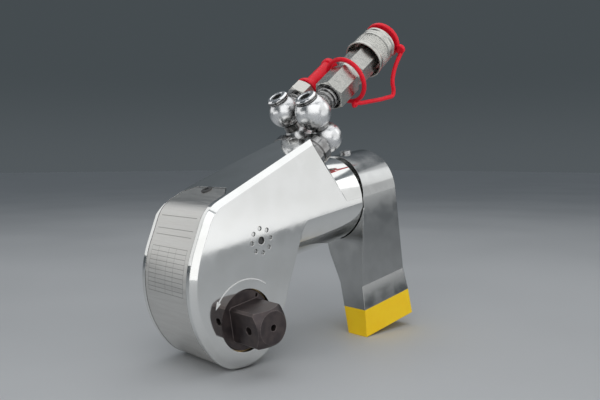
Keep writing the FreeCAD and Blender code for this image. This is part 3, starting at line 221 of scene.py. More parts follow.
def polished_steel():
    """Nickel plate over machined steel: clear reflections, fine haze and painted shade in holes and seams."""
    material, tree, shader = start_material("polished_steel", (0.84, 0.84, 0.82), 1.0, 0.07)
    haze = noise(tree, 55, 4)
    vary(tree, shader, haze, roughness=(0.05, 0.09))
    clean = blended(tree, ramp(tree, haze, 0.35, 0.65), (0.82, 0.82, 0.80), (0.86, 0.86, 0.845))
    # Painted shade: the plate darkens where ambient occlusion finds holes and seams.
    painted_seam_shade = (0.16, 0.16, 0.155)
    tree.links.new(blended(tree, open_face(tree, 2.2, 0.45, 0.92), painted_seam_shade, clean), shader.inputs["Base Color"])
    grain = noise(tree, 900, 2, (1, 1, 8), TILT)
    bump(tree, shader, grain, 0.003, strength=0.3, corner=0.5)
    return material


def shaded_arm_steel():
    """Nickel plate over the milled steel of the arm, softer than the body's, and darkened as painted shade for the
    arm's duller reflections.
    """
    material, tree, shader = start_material("shaded_arm_steel", (0.46, 0.465, 0.46), 1.0, 0.15)
    haze = noise(tree, 70, 4)
    vary(tree, shader, haze, ((0.44, 0.445, 0.44), (0.48, 0.485, 0.48)), (0.12, 0.18))
    grain = noise(tree, 1100, 3, (1, 1, 6), TILT)
    bump(tree, shader, grain, 0.005, strength=0.4, corner=0.6)
    return material


def mirror_chrome():
    """Hard chrome, nearly a mirror."""
    material, tree, shader = start_material("mirror_chrome", (0.86, 0.86, 0.86), 1.0, 0.09)
    smear = noise(tree, 160, 3)
    vary(tree, shader, smear, roughness=(0.07, 0.12))
    bump(tree, shader, smear, 0.003, strength=0.3, corner=0.25)
    return material


def shaded_chrome():
    """Chrome darkened as painted shade, for the parts between the balls and the faces that look back at them."""
    material, tree, shader = start_material("shaded_chrome", (0.34, 0.335, 0.33), 1.0, 0.10)
    smear = noise(tree, 200, 3)
    vary(tree, shader, smear, ((0.28, 0.275, 0.27), (0.42, 0.415, 0.41)), (0.07, 0.14))
    bump(tree, shader, smear, 0.004, strength=0.3, corner=0.25)
    return material


def satin_chrome(name, centre=None):
    """Chrome with a wide soft highlight, painted shade where other parts come near, and painted shade on the neck
    where a lower ball's centre is given.
    """
    plate = (0.86, 0.86, 0.86)
    material, tree, shader = start_material(name, plate, 1.0, 0.26)
    vary(tree, shader, noise(tree, 120, 3), roughness=(0.24, 0.29))
    # Painted shade: the chrome darkens where ambient occlusion finds other parts nearby.
    colour = blended(tree, open_face(tree, 16, 0.30, 0.95), (0.20, 0.20, 0.20), plate)
    if centre:
        offset = vector_result(tree, "SUBTRACT", object_place(tree), centre)
        distance = vector_result(tree, "LENGTH", offset, output="Value")
        # Painted shade on the lower ball's neck, beyond the ball's own radius.
        neck = ramp(tree, distance, NECK_SHADE[0] * MM, NECK_SHADE[1] * MM)
        colour = blended(tree, neck, colour, (0.30, 0.295, 0.29))
    tree.links.new(colour, shader.inputs["Base Color"])
    return material


def zinc_steel():
    """Satin zinc plate on turned steel, slightly warm and mottled."""
    material, tree, shader = start_material("zinc_steel", (0.58, 0.575, 0.535), 1.0, 0.28)
    cloud = noise(tree, 320, 4)
    vary(tree, shader, cloud, ((0.55, 0.545, 0.51), (0.61, 0.60, 0.56)), (0.24, 0.32), low=0.3, high=0.7)
    return material


def plain_steel():
    """Ground tool steel of the screws, pins and inner parts."""
    material, tree, shader = start_material("plain_steel", (0.56, 0.56, 0.56), 1.0, 0.30)
    grain = noise(tree, 1400, 4)
    vary(tree, shader, grain, ((0.50, 0.50, 0.51), (0.62, 0.62, 0.61)), (0.24, 0.38))
    bump(tree, shader, grain, 0.01, strength=0.4)
    return material


def shadow_steel():
    """Dark steel that paints the shade at the bottom of sockets and grooves, and on the screws and pins that sit
    in shade.
    """
    material, tree, shader = start_material("shadow_steel", (0.10, 0.10, 0.10), 0.8, 0.5)
    grain = noise(tree, 1200, 3)
    vary(tree, shader, grain, ((0.08, 0.08, 0.08), (0.13, 0.13, 0.13)), (0.45, 0.6))
    return material


def bronze():
    """Turned bearing bronze."""
    material, tree, shader = start_material("bronze", (0.62, 0.44, 0.22), 1.0, 0.32)
    grain = noise(tree, 1200, 4, (1, 6, 1))
    vary(tree, shader, grain, ((0.56, 0.39, 0.19), (0.68, 0.49, 0.26)), (0.26, 0.40))
    bump(tree, shader, grain, 0.01, strength=0.4)
    return material


def black_steel():
    """Black oxide with a brown cast, and lighter along its edges in patches as a painted highlight."""
    material, tree, shader = start_material("black_steel", (0.085, 0.070, 0.070), 0.75, 0.40)
    cloud = noise(tree, 140, 5)
    oxide = blended(tree, ramp(tree, cloud, 0.35, 0.65), (0.070, 0.058, 0.060), (0.105, 0.085, 0.083))
    patches = ramp(tree, noise(tree, 420, 4), 0.25, 0.6, start=0.35, end=0.9)
    # Painted highlight: the edges are lighter, broken into patches.
    wear_and_sheen = product(tree, sharp_edge_mask(tree, 0.9), patches)
    tree.links.new(blended(tree, wear_and_sheen, oxide, (0.30, 0.25, 0.24)), shader.inputs["Base Color"])
    vary(tree, shader, cloud, roughness=(0.34, 0.48), low=0.3, high=0.7)
    bump(tree, shader, noise(tree, 1500, 4), 0.02, strength=0.5, corner=0.5)
    return material


# Finishes of paint, plastic and rubber

def red_plastic():
    """Soft moulded vinyl with a fine matt skin."""
    material, tree, shader = start_material("red_plastic", (0.84, 0.004, 0.022), 0.0, 0.42)
    shader.inputs["Specular IOR Level"].default_value = 0.32
    cloud = noise(tree, 180, 3)
    vary(tree, shader, cloud, ((0.79, 0.003, 0.020), (0.88, 0.005, 0.025)), (0.36, 0.48))
    bump(tree, shader, noise(tree, 1800, 3), 0.02, strength=0.35, corner=0.3)
    return material


def yellow_enamel():
    """Smooth yellow enamel with a slight orange peel and darker rubbed edges."""
    material, tree, shader = start_material("yellow_enamel", (1.0, 0.64, 0.003), 0.0, 0.33)
    cloud = noise(tree, 90, 4)
    enamel = blended(tree, ramp(tree, cloud, 0.3, 0.7), (0.98, 0.62, 0.002), (1.0, 0.66, 0.004))
    patches = ramp(tree, noise(tree, 500, 4), 0.5, 0.62, start=0, end=0.7)
    wear_and_sheen = product(tree, sharp_edge_mask(tree, 0.5), patches)
    tree.links.new(blended(tree, wear_and_sheen, enamel, (0.45, 0.33, 0.08)), shader.inputs["Base Color"])
    vary(tree, shader, cloud, roughness=(0.28, 0.38), low=0.3, high=0.7)
    bump(tree, shader, noise(tree, 450, 3), 0.015, strength=0.4, corner=0.4)
    return material


def seal_rubber():
    """Moulded black rubber."""
    material, tree, shader = start_material("seal_rubber", (0.03, 0.03, 0.03), 0.0, 0.6)
    grain = noise(tree, 900, 4)
    vary(tree, shader, grain, ((0.025, 0.025, 0.025), (0.04, 0.04, 0.04)), (0.55, 0.7))
    return material


def white_paint():
    """Filled white paint of the arrow."""
    material, tree, shader = start_material("white_paint", (0.85, 0.85, 0.83), 0.0, 0.45)
    grain = noise(tree, 900, 4)
    vary(tree, shader, grain, ((0.78, 0.78, 0.76), (0.90, 0.90, 0.89)), (0.4, 0.5))
    return material


def studio_floor():
    """Pale matt studio floor."""
    material, tree, shader = start_material("studio_floor", (0.62, 0.63, 0.64), 0.0, 0.55)
    cloud = noise(tree, 3, 3)
    vary(tree, shader, cloud, ((0.61, 0.62, 0.63), (0.63, 0.64, 0.65)), (0.5, 0.6))
    return material


# Finish of the chart plate, with the bare ruled lines of a table. Heights are in the tool axes,
# and PLATE_LINE is half the width of each kind of line.
PLATE_ROWS = {"first": 28.0, "pitch": 3.05, "count": 10}
PLATE_COLUMNS = (12.0, 25.0, 34.0, 47.0, 56.0)
PLATE_RULES = (66.0, 70.0, 78.0)
PLATE_LINE = {"row": 0.16, "column": 0.128, "rule": 0.192}
PLATE_INK = 0.7


def brushed_plate():
    """Stainless sheet brushed across its width, with the bare lines of a table."""
    material, tree, shader = start_material("brushed_plate", (0.66, 0.65, 0.62), 1.0, 0.30)
    brushing = noise(tree, 2600, 4, (1, 0.03, 1))
    streaks = noise(tree, 420, 3, (1, 0.05, 1))
    tone = calculate(tree, "MULTIPLY", calculate(tree, "ADD", streaks, brushing), 0.5)
    sheet = blended(tree, ramp(tree, tone, 0.38, 0.62), (0.64, 0.625, 0.60), (0.71, 0.70, 0.675))
    tree.links.new(blended(tree, table_lines(tree), sheet, (0.13, 0.12, 0.11)), shader.inputs["Base Color"])
    vary(tree, shader, tone, roughness=(0.30, 0.38), low=0.38, high=0.62)
    bump(tree, shader, brushing, 0.004, strength=0.3)
    return material


def between(tree, value, low, high):
    """Socket that is 1 where a value lies between two others."""
    above = calculate(tree, "GREATER_THAN", value, low)
    return product(tree, above, calculate(tree, "LESS_THAN", value, high))


def add_line(tree, lines, value, place, half):
    """Socket that is 1 on the lines so far and where a value is near a place."""
    gap = calculate(tree, "ABSOLUTE", calculate(tree, "SUBTRACT", value, place))
    return calculate(tree, "MAXIMUM", lines, calculate(tree, "LESS_THAN", gap, half))


def table_lines(tree):
    """Socket with the strength of the ruled lines of a plain table."""
    place = object_place(tree)
    tilt = math.radians(TILT)
    upward = (-math.sin(tilt) / MM, 0, math.cos(tilt) / MM)
    level = vector_result(tree, "DOT_PRODUCT", place, upward, "Value")
    depth = add_node(tree, "ShaderNodeSeparateXYZ", Vector=place).outputs["Y"]
    across = calculate(tree, "DIVIDE", depth, MM)
    first = PLATE_ROWS["first"]
    pitch = PLATE_ROWS["pitch"]
    last = first + pitch * PLATE_ROWS["count"]
    line = PLATE_LINE["row"]
    row = calculate(tree, "DIVIDE", calculate(tree, "SUBTRACT", level, first), pitch)
    to_row = calculate(tree, "ABSOLUTE", calculate(tree, "SUBTRACT", row, calculate(tree, "ROUND", row)))
    lines = calculate(tree, "LESS_THAN", to_row, line / pitch)
    for column in PLATE_COLUMNS:
        lines = add_line(tree, lines, across, column, PLATE_LINE["column"])
    lines = product(tree, lines, between(tree, level, first - line, last + line))
    for rule in PLATE_RULES:
        lines = add_line(tree, lines, level, rule, PLATE_LINE["rule"])
    inside = between(tree, across, PLATE_COLUMNS[0] - line, PLATE_COLUMNS[-1] + line)
    return product(tree, lines, inside, PLATE_INK)


SLOT_FINISH = {
    "polished_steel": polished_steel(),
    "brushed_plate": brushed_plate(),
    "black_steel": black_steel(),
    "mirror_chrome": mirror_chrome(),
    "zinc_steel": zinc_steel(),
    "plain_steel": plain_steel(),
    "bronze": bronze(),
    "red_plastic": red_plastic(),
    "yellow_foot": yellow_enamel(),
    "seal_rubber": seal_rubber(),
}
WHITE_PAINT = white_paint()
SHADOW_STEEL = shadow_steel()
SATIN_CHROME = satin_chrome("satin_chrome")
SHADED_CHROME = shaded_chrome()
OWN_FINISH = {
    # Painted shade: the arm's plate is darker than the body's.
    "reaction_arm": shaded_arm_steel(),
    # Painted shade: the plate screws and the crank stop pins are drawn in shadow steel.
    "plate_screws": SHADOW_STEEL,
    "crank_stop_pins": SHADOW_STEEL,
}
# Painted shade: the swivel posts are drawn in shaded chrome, and the lower balls darken on their necks.
for line_side, ball_centre in LOWER_BALLS.items():
    OWN_FINISH["swivel_post_" + line_side] = SHADED_CHROME
    OWN_FINISH["lower_ball_" + line_side] = satin_chrome("satin_chrome_" + line_side, ball_centre)


def dress_nodes():
    """Give every CAD node its own finish, or the one of its slot."""
    for part in frame["record"]["subparts"]:
        mesh = frame["nodes"][part["node"]].data
        mesh.materials.clear()
        mesh.materials.append(OWN_FINISH.get(part["node"]) or SLOT_FINISH[part["material_slot"]])


# Mesh helpers. Points that are nearer to each other than MERGE become one.
MERGE = 0.001


def add_object(name, mesh_data, matrix, body, slot, stands_for=(), material=None):
    """Place a mesh drawn in millimetres, give it its finish and let it ride on its body."""
    mesh_data.transform(matrix @ Matrix.Scale(MM, 4))
    made = bpy.data.objects.new(name, mesh_data)
    bpy.context.scene.collection.objects.link(made)
    mesh_data.materials.append(material or SLOT_FINISH[slot])
    for face in mesh_data.polygons:
        face.use_smooth = True
    if body:
        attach(made, body)
    if stands_for:
        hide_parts(*stands_for)
    return made


def finish_mesh(name, shape, sharp=40):
    """Turn a bmesh into a mesh with merged points, outward faces and crisp edges above an angle."""
    bmesh.ops.remove_doubles(shape, verts=shape.verts, dist=MERGE)
    bmesh.ops.recalc_face_normals(shape, faces=shape.faces)
    for edge in shape.edges:
        edge.smooth = not (edge.is_manifold and edge.calc_face_angle(0) > math.radians(sharp))
    mesh_data = bpy.data.meshes.new(name)
    shape.to_mesh(mesh_data)
    shape.free()
    return mesh_data


def join(shape, other):
    """Add the faces of one bmesh to another."""
    copies = {vert: shape.verts.new(vert.co) for vert in other.verts}
    for face in other.faces:
        shape.faces.new([copies[vert] for vert in face.verts])
    other.free()


def around(x, reach, angle):
    """Point at a distance from the x axis."""
    return x, reach * math.cos(angle), reach * math.sin(angle)


def angles_round(count):
    """Evenly spaced angles of one turn."""
    return [2 * math.pi * k / count for k in range(count)]


def bridge(shape, rings):
    """Faces between rings, each of which has as many points as the others or is one point."""
    for before, after in zip(rings, rings[1:]):
        count = max(len(before), len(after))
        for k in range(count):
            following = (k + 1) % count
            corners = (before[k % len(before)], before[following % len(before)],
                       after[following % len(after)], after[k % len(after)])
            unique = list(dict.fromkeys(corners))
            if len(unique) > 2:
                shape.faces.new(unique)


def rounded(corners, steps=4, longest=0.49):
    """Profile with each fillet drawn as a short arc, which takes at most a share of either side."""
    points = []
    for index, corner in enumerate(corners):
        if len(corner) == 2 or index in (0, len(corners) - 1):
            points.append(tuple(corner[:2]))
            continue
        here = Vector(corner[:2])
        before = Vector(corners[index - 1][:2]) - here
        after = Vector(corners[index + 1][:2]) - here
        half = before.angle(after) / 2
        reach = min(corner[2] / math.tan(half), before.length * longest, after.length * longest)
        radius = reach * math.tan(half)
        centre = here + (before.normalized() + after.normalized()).normalized() * (radius / math.sin(half))
        first = here + before.normalized() * reach - centre
        last = here + after.normalized() * reach - centre
        for step in range(steps + 1):
            points.append(tuple(centre + first.lerp(last, step / steps).normalized() * radius))
    return points


def lathe(profile, segments=96, relief=None):
    """Turn a profile about the x axis, with an optional relief added to the radius."""
    shape = bmesh.new()
    rings = []
    for x, radius in profile:
        if radius == 0:
            rings.append([shape.verts.new((x, 0, 0))])
            continue
        rings.append([shape.verts.new(around(x, radius + (relief(x, radius, angle) if relief else 0), angle))
                      for angle in angles_round(segments)])
    bridge(shape, rings)
    return shape


def line_piece(name, shape, side, body, slot, stands_for=(), material=None):
    """A piece in the axes of one hose line."""
    return add_object(name, finish_mesh(name, shape), LINES[side], body, slot, stands_for, material)


def sweep(points, radius, sides=14, closed=False, flatten=1.0):
    """Round or oval bar through points, its section carried along without twist."""
    shape = bmesh.new()
    points = [Vector(point) for point in points]
    count = len(points)
    normal = None
    rings = []
    for index, point in enumerate(points):
        if closed:
            heading = (points[(index + 1) % count] - points[index - 1]).normalized()
        else:
            heading = (points[min(index + 1, count - 1)] - points[max(index - 1, 0)]).normalized()
        if normal is None:
            normal = heading.orthogonal()
        normal = (normal - heading * normal.dot(heading)).normalized()
        across = heading.cross(normal)
        size = radius(index / (count - 1)) if callable(radius) else radius
        rings.append([shape.verts.new(point + normal * (size * math.cos(angle))
                                      + across * (size * flatten * math.sin(angle)))
                      for angle in angles_round(sides)])
    if closed:
        bridge(shape, [*rings, rings[0]])
    else:
        bridge(shape, rings)
        shape.faces.new(rings[0])
        shape.faces.new(rings[-1])
    return shape


def smooth_route(points, resolution=10):
    """Points read along a smooth spline that has the route as its control points."""
    curve = bpy.data.curves.new("route", "CURVE")
    curve.dimensions = "3D"
    spline = curve.splines.new("NURBS")
    spline.points.add(len(points) - 1)
    for place, point in zip(spline.points, points):
        place.co = (*point, 1)
    spline.order_u = 3
    spline.use_endpoint_u = True
    spline.resolution_u = resolution
    holder = bpy.data.objects.new("route", curve)
    line = bpy.data.meshes.new_from_object(holder)
    route = [tuple(vert.co) for vert in line.vertices]
    bpy.data.objects.remove(holder)
    bpy.data.meshes.remove(line)
    return route


def to_flat(flats, angle):
    """Distance from a hexagon's axis to its side, where one flat faces the angle 0."""
    folded = (angle + math.pi / 6) % (math.pi / 3) - math.pi / 6
    return flats / 2 / math.cos(folded)


def shade_faces(made, matrix, choose):
    """Give each face the finish that its middle's x, its distance from the x axis and its slant choose."""
    back = (matrix @ Matrix.Scale(MM, 4)).inverted()
    for face in made.data.polygons:
        spot = back @ face.center
        slant = abs(face.normal.dot(matrix.col[0].xyz))
        face.material_index = choose(spot.x, math.hypot(spot.y, spot.z), slant)


# Balls and plugs of the swivels. A ball's x axis points up through its plug.
# Heights on a plug are above its foot. Its band, groove and socket carry painted shade up to the given limits.
BALL_FLAT = 11.2
BALL_BORE = 5.8
BALL_BEVEL = {"along": 0.15, "across": 0.3}
PLUG_SEGMENTS = 72
PLUG_FOOT = BALL_FLAT + 0.3
PLUG_GROOVE = {"low": 1.0, "high": 1.5, "radius": 8.3, "slack": 0.06}
PLUG_BAND = {"foot_radius": 9.0, "radius": 9.2, "high": 2.8, "shaded_from": 8.9, "shaded_up_to": 2.6}
PLUG_RIM = {"top": 4.0, "face": 3.5, "bore": 5.0}
SOCKET = {"floor": 0.9, "flats": 8.0, "corner": 4.65, "shaded_up_to": 3.45}


def make_upper_balls():
    """Chrome balls with a flat and a bore above and below."""
    arc_end = BALL_FLAT - BALL_BEVEL["along"]
    for side, radius in UPPER_BALL_RADIUS.items():
        flat_radius = math.sqrt(radius ** 2 - BALL_FLAT ** 2) - BALL_BEVEL["across"]
        profile = [(-BALL_FLAT, BALL_BORE), (-BALL_FLAT, flat_radius), *ball_arc(radius, -arc_end, arc_end),
                   (BALL_FLAT, flat_radius), (BALL_FLAT, BALL_BORE)]
        name = "upper_ball_%s_skin" % side
        add_object(name, finish_mesh(name, lathe(profile)), LINE_UP[side], side + "_line", "mirror_chrome",
                   ["upper_ball_" + side], SATIN_CHROME)


def ball_arc(radius, low, high, steps=28):
    """Profile points of a sphere between two distances from its centre along the axis."""
    first = math.acos(low / radius)
    last = math.acos(high / radius)
    angles = [first + (last - first) * step / steps for step in range(steps + 1)]
    return [(radius * math.cos(angle), radius * math.sin(angle)) for angle in angles]


def make_plugs():
    """Swivel plugs: a bevelled disc with a groove round it and a deep hexagon socket."""
    groove = PLUG_GROOVE
    band = PLUG_BAND
    corners = [(0, 0), (0, band["foot_radius"], 0.3), (groove["low"] - 0.1, band["foot_radius"], 0.2),
               (groove["low"], groove["radius"], 0.2), (groove["high"], groove["radius"], 0.2),
               (groove["high"] + 0.1, band["radius"], 0.3), (band["high"], band["radius"], 0.5),
               (3.9, 7.9, 0.5), (PLUG_RIM["top"], 6.0, 0.3), (3.6, 5.6, 0.3),
               (PLUG_RIM["face"], PLUG_RIM["bore"])]
    for side in LINE_UP:
        name = "swivel_plug_%s_skin" % side
        shape = lathe(rounded([(PLUG_FOOT + x, *rest) for x, *rest in corners]), PLUG_SEGMENTS)
        add_socket(shape)
        made = add_object(name, finish_mesh(name, shape, sharp=35), LINE_UP[side], side + "_swivel",
                          "mirror_chrome", ["swivel_plug_" + side])
        # Painted shade: the socket and groove in shadow steel, the side band in shaded chrome.
        made.data.materials.append(SHADOW_STEEL)
        made.data.materials.append(SHADED_CHROME)
        shade_faces(made, LINE_UP[side], plug_finish)


def plug_finish(x, reach, slant):
    """Number of a plug's finish: 1 in the socket and the groove, 2 on the side band, 0 elsewhere; 1 and 2 are
    painted shade.
    """
    height = x - PLUG_FOOT
    low = PLUG_GROOVE["low"] - PLUG_GROOVE["slack"]
    high = PLUG_GROOVE["high"] + PLUG_GROOVE["slack"]
    in_socket = reach < SOCKET["corner"] and height < SOCKET["shaded_up_to"]
    in_groove = low < height < high and reach < PLUG_BAND["foot_radius"]
    if in_socket or in_groove:
        return 1
    return 2 if reach > PLUG_BAND["shaded_from"] and height < PLUG_BAND["shaded_up_to"] else 0


def add_socket(shape):
    """Flat from a plug's round bore to its hexagon hole, the hole's walls and its floor."""
    face = PLUG_FOOT + PLUG_RIM["face"]
    floor = PLUG_FOOT + SOCKET["floor"]
    angles = angles_round(PLUG_SEGMENTS)
    hexagon = [to_flat(SOCKET["flats"], angle) for angle in angles]
    loops = [(face, [PLUG_RIM["bore"]] * PLUG_SEGMENTS), (face, hexagon), (floor, hexagon)]
    rings = [[shape.verts.new(around(x, reach, angle)) for reach, angle in zip(reaches, angles)]
             for x, reaches in loops]
    bridge(shape, rings)
    shape.faces.new(rings[-1])


# Hose couplers, in the axes of their own line
NECKS = {
    "near": [(11.6, 0), (11.6, 6.9), (15.4, 6.9, 0.2), (15.8, 8.7, 0.4), (17.8, 8.7, 0.4), (18.2, 7.5, 0.2),
             (19.0, 7.5, 0.2), (19.4, 9.6, 0.4), (21.7, 9.6, 0.4), (22.1, 8.4, 0.2), (22.6, 8.4), (22.6, 0)],
    "far": [(10.6, 0), (10.6, 5.9), (14.2, 5.9, 0.2), (14.6, 7.6, 0.4), (16.4, 7.6, 0.4), (16.8, 6.8, 0.2),
            (18.2, 6.8), (18.2, 0)],
}
NEAR_HEXAGON = {"low": 22.4, "high": 50.3, "flats": 25.0, "turn": -4, "bores": (8.0, 11.6)}
FRONT_HEXAGON = {"low": 56.8, "high": 79.0, "flats": 24.0, "turn": -4, "bores": (11.6, 11.9)}
FAR_HEXAGON = {"low": 18.0, "high": 30.8, "flats": 21.0, "turn": 32, "bores": (6.5, 7.2)}
COUPLER_WAIST = [(NEAR_HEXAGON["high"], 11.6), (51.0, 11.2), (56.0, 11.2), (FRONT_HEXAGON["low"], 11.6)]
COUPLER_BARREL = [(FRONT_HEXAGON["high"], 11.9), (107.7, 11.9), (108.5, 11.1), (108.5, 7.4, 0.3),
                  (108.0, 6.6), (89.0, 6.6), (88.5, 0)]
TURNED_CORNER = {"radius": 0.48, "slope": 0.55, "steps": 5}
HEXAGON_SEGMENTS = 96
START_FACE = {"depth": 0.4, "slant": 0.9}


def hexagon_bar(shape, low, high, flats, turn, bores):
    """Hexagon along x whose corners are turned down at both ends, with end faces that start at a bore."""
    corner = flats / math.sqrt(3)
    start = flats * TURNED_CORNER["radius"]
    drop = (corner - start) * TURNED_CORNER["slope"]
    steps = TURNED_CORNER["steps"]
    turned = [(low + drop * k / steps, start + (corner - start) * k / steps) for k in range(steps + 1)]
    mirrored = [(low + high - x, reach) for x, reach in reversed(turned)]
    stations = [(low, bores[0]), *turned, *mirrored, (high, bores[1])]
    spokes = [(angle + math.radians(turn), to_flat(flats, angle + math.pi / 6))
              for angle in angles_round(HEXAGON_SEGMENTS)]
    bridge(shape, [[shape.verts.new(around(x, min(side, reach), angle)) for angle, side in spokes]
                   for x, reach in stations])


def make_neck(side, stands_for, segments):
    """Ringed neck out of an upper ball, in chrome darkened as painted shade."""
    name = side + "_neck_skin"
    line_piece(name, lathe(rounded(NECKS[side]), segments), side, side + "_line", "mirror_chrome",
               stands_for, SHADED_CHROME)


def make_fitting(name, shape, side, node, low):
    """Zinc coupler part of a hose line, with chrome darkened as painted shade on the end face that looks back at
    the ball.
    """
    mesh_data = finish_mesh(name, shape, sharp=18)
    made = add_object(name, mesh_data, LINES[side], side + "_line", "zinc_steel", [node])
    # Painted shade on the end face that looks back at the ball.
    made.data.materials.append(SHADED_CHROME)
    limit = low + START_FACE["depth"]
    shade_faces(made, LINES[side], lambda x, reach, slant: int(x < limit and slant > START_FACE["slant"]))


def make_near_fitting():
    """Neck of the near line, and the coupler's two hexagons, waist and bored barrel."""
    make_neck("near", ["female_adapter"], segments=96)
    shape = bmesh.new()
    hexagon_bar(shape, **NEAR_HEXAGON)
    hexagon_bar(shape, **FRONT_HEXAGON)
    join(shape, lathe(COUPLER_WAIST))
    join(shape, lathe(rounded(COUPLER_BARREL)))
    make_fitting("coupler_skin", shape, "near", "female_body", NEAR_HEXAGON["low"])


def make_far_fitting():
    """Neck of the far line and the adapter's hexagon."""
    make_neck("far", (), segments=72)
    shape = bmesh.new()
    hexagon_bar(shape, **FAR_HEXAGON)
    make_fitting("far_nut_skin", shape, "far", "male_adapter", FAR_HEXAGON["low"])


# Pull-back sleeve of the near coupler
SLEEVE_RADIUS = 16.7
SLEEVE_BORE = 12.4
KNURL = {"low": 83.2, "high": 91.4, "rows": 32, "teeth": 60, "depth": 0.4, "margin": 0.2,
         "segments": 480}
SLEEVE_START = [(77.9, 16.3), (77.5, 16.9, 0.3), (77.8, 17.5, 0.4), (80.5, 17.5, 0.4),
                (82.2, SLEEVE_RADIUS, 0.5), (83.0, SLEEVE_RADIUS)]
SLEEVE_END = [(KNURL["high"], SLEEVE_RADIUS), (92.0, 16.4, 0.2), (92.6, 15.4, 0.3), (94.4, 15.4, 0.3),
              (95.0, 16.5, 0.3), (97.0, 16.5, 0.2), (97.3, 16.2, 0.2), (97.6, 16.5, 0.2), (99.3, 16.5, 0.3),
              (100.0, 15.5, 0.3), (101.4, 15.5, 0.3), (102.2, 16.3, 0.3), (104.2, 16.3, 0.5),
              (105.3, 15.3, 0.3), (105.3, SLEEVE_BORE, 0.3), (90.6, SLEEVE_BORE, 0.3), (90.5, 16.3, 0.2),
              (77.9, 16.3)]


def knurl_relief(x, radius, angle):
    """Relief of a diamond knurl on the sleeve's middle band."""
    low = KNURL["low"] + KNURL["margin"]
    if not low < x < KNURL["high"] - KNURL["margin"]:
        return 0
    turned = angle * KNURL["teeth"] / 2
    twist = (x - low) * KNURL["teeth"] / radius / 2
    return -KNURL["depth"] * (1 - min(abs(math.sin(turned + twist)), abs(math.sin(turned - twist))))


def make_sleeve():
    """Sleeve with a flared rim, a knurled band, two grooves and a front band."""
    length = KNURL["high"] - KNURL["low"]
    band = [(KNURL["low"] + length * k / KNURL["rows"], SLEEVE_RADIUS) for k in range(KNURL["rows"] + 1)]
    profile = rounded(SLEEVE_START) + band + rounded(SLEEVE_END)
    shape = lathe(profile, KNURL["segments"], knurl_relief)
    line_piece("sleeve_skin", shape, "near", "sleeve", "zinc_steel", ["female_sleeve"])


# Red dust caps, their ring and their strap. Routes are in the axes of the line that they follow.
FEMALE_CAP = [(96.8, 0), (96.8, 5.2, 0.5), (97.8, 6.0, 0.5), (108.8, 6.0, 0.3), (108.8, 15.9, 0.3),
              (109.2, 16.6, 0.8), (112.3, 16.6, 1.2), (113.4, 14.4, 1.0), (112.6, 12.6, 0.8),
              (112.5, 6.5, 0.6), (113.3, 4.8, 0.6), (113.3, 0)]
LUG = [(108.8, 0), (108.8, 4.4, 0.7), (112.6, 4.4, 1.2), (112.8, 0)]
LUG_PLACE = {"turn": 217, "reach": 18.4}
MALE_CAP_INSIDE = [(65.5, 0), (65.5, 5.0), (35.0, 5.0), (33.8, 7.6), (32.0, 8.2), (32.0, 9.0)]
MALE_CAP = [(32.0, 9.0), (32.0, 10.6, 0.5), (33.2, 11.1, 0.5), (34.6, 10.9, 0.4), (35.1, 10.0, 0.3),
            (36.6, 9.9, 0.4), (38.4, 7.4, 0.8), (40.0, 7.0, 0.5), (66.2, 7.0, 0.5), (67.2, 8.2, 0.7),
            (71.0, 8.2, 0.9), (72.0, 6.8, 0.8), (71.8, 0)]
CAP_TAB = {"route": [(49.0, -10.4, -3.7), (54.0, -10.6, -3.6), (61.0, -9.5, -3.6), (67.0, -7.4, -3.5),
                     (69.5, -5.5, -3.4)],
           "radius": 1.6, "flatten": 0.8}
RING = {"place": 48, "drop": 1.5, "turn": 9, "radius": 18.9, "wire": 1.9, "segments": 96}
KNOB = {"route": [(44.5, -2.6, -20.8), (43.0, -3.0, -21.8), (41.0, -3.2, -22.4), (39.5, -3.2, -22.6)],
        "radius": 1.2, "swell": 1.6, "swell_start": 0.05, "swell_rate": 1.1}
STRAP = {"route": [(43.5, -3.2, -21.9), (46.5, -3.5, -23.4), (50.3, -4.0, -26.0), (58.1, -5.5, -29.8),
                   (68.7, -7.0, -35.4), (77.5, -8.0, -39.2), (83.6, -8.8, -42.2), (87.6, -9.1, -38.6),
                   (89.4, -9.4, -31.5), (95.0, -10.2, -25.4), (100.9, -11.5, -20.6), (107.1, -13.4, -16.4),
                   (110.5, -14.4, -14.6)],
         "radius": 1.85, "bend_from": 4}


def make_female_cap():
    """Dust cap over the front of the near coupler, with the lug that holds its strap."""
    shape = lathe(rounded(FEMALE_CAP), segments=120)
    lug = lathe(rounded(LUG), segments=40)
    bmesh.ops.translate(lug, verts=lug.verts,
                        vec=around(0, LUG_PLACE["reach"], math.radians(LUG_PLACE["turn"])))
    join(shape, lug)
    mesh_data = finish_mesh("female_cap_skin", shape, sharp=50)
    add_object("female_cap_skin", mesh_data, LINES["near"], "female_cap", "red_plastic", ["female_dust_cap"])


def make_male_cap():
    """Dust cap of the far nipple: flared skirt, body, pull knob and the tab to the ring."""
    shape = lathe(MALE_CAP_INSIDE + rounded(MALE_CAP), segments=72)
    join(shape, sweep(smooth_route(CAP_TAB["route"]), CAP_TAB["radius"], flatten=CAP_TAB["flatten"]))
    line_piece("male_cap_skin", shape, "far", "male_cap", "red_plastic", ["male_dust_cap"])


def make_tether():
    """Moulded ring round the near coupler with the knob where the strap joins it."""
    turn = math.radians(RING["turn"])
    points = []
    for angle in angles_round(RING["segments"]):
        high = RING["radius"] * math.sin(angle)
        points.append((RING["place"] + high * math.sin(turn), RING["radius"] * math.cos(angle),
                       high * math.cos(turn) - RING["drop"]))
    shape = sweep(points, RING["wire"], sides=16, closed=True)
    join(shape, sweep(smooth_route(KNOB["route"]), knob_radius, sides=16))
    line_piece("tether_skin", shape, "near", "near_line", "red_plastic", ["male_cap_tether"])


def knob_radius(share):
    """Radius of the ring's knob at a share of its route. It swells in the middle."""
    swelling = min(1, share * KNOB["swell_rate"] + KNOB["swell_start"])
    return KNOB["radius"] + KNOB["swell"] * math.sin(math.pi * swelling) ** 0.5


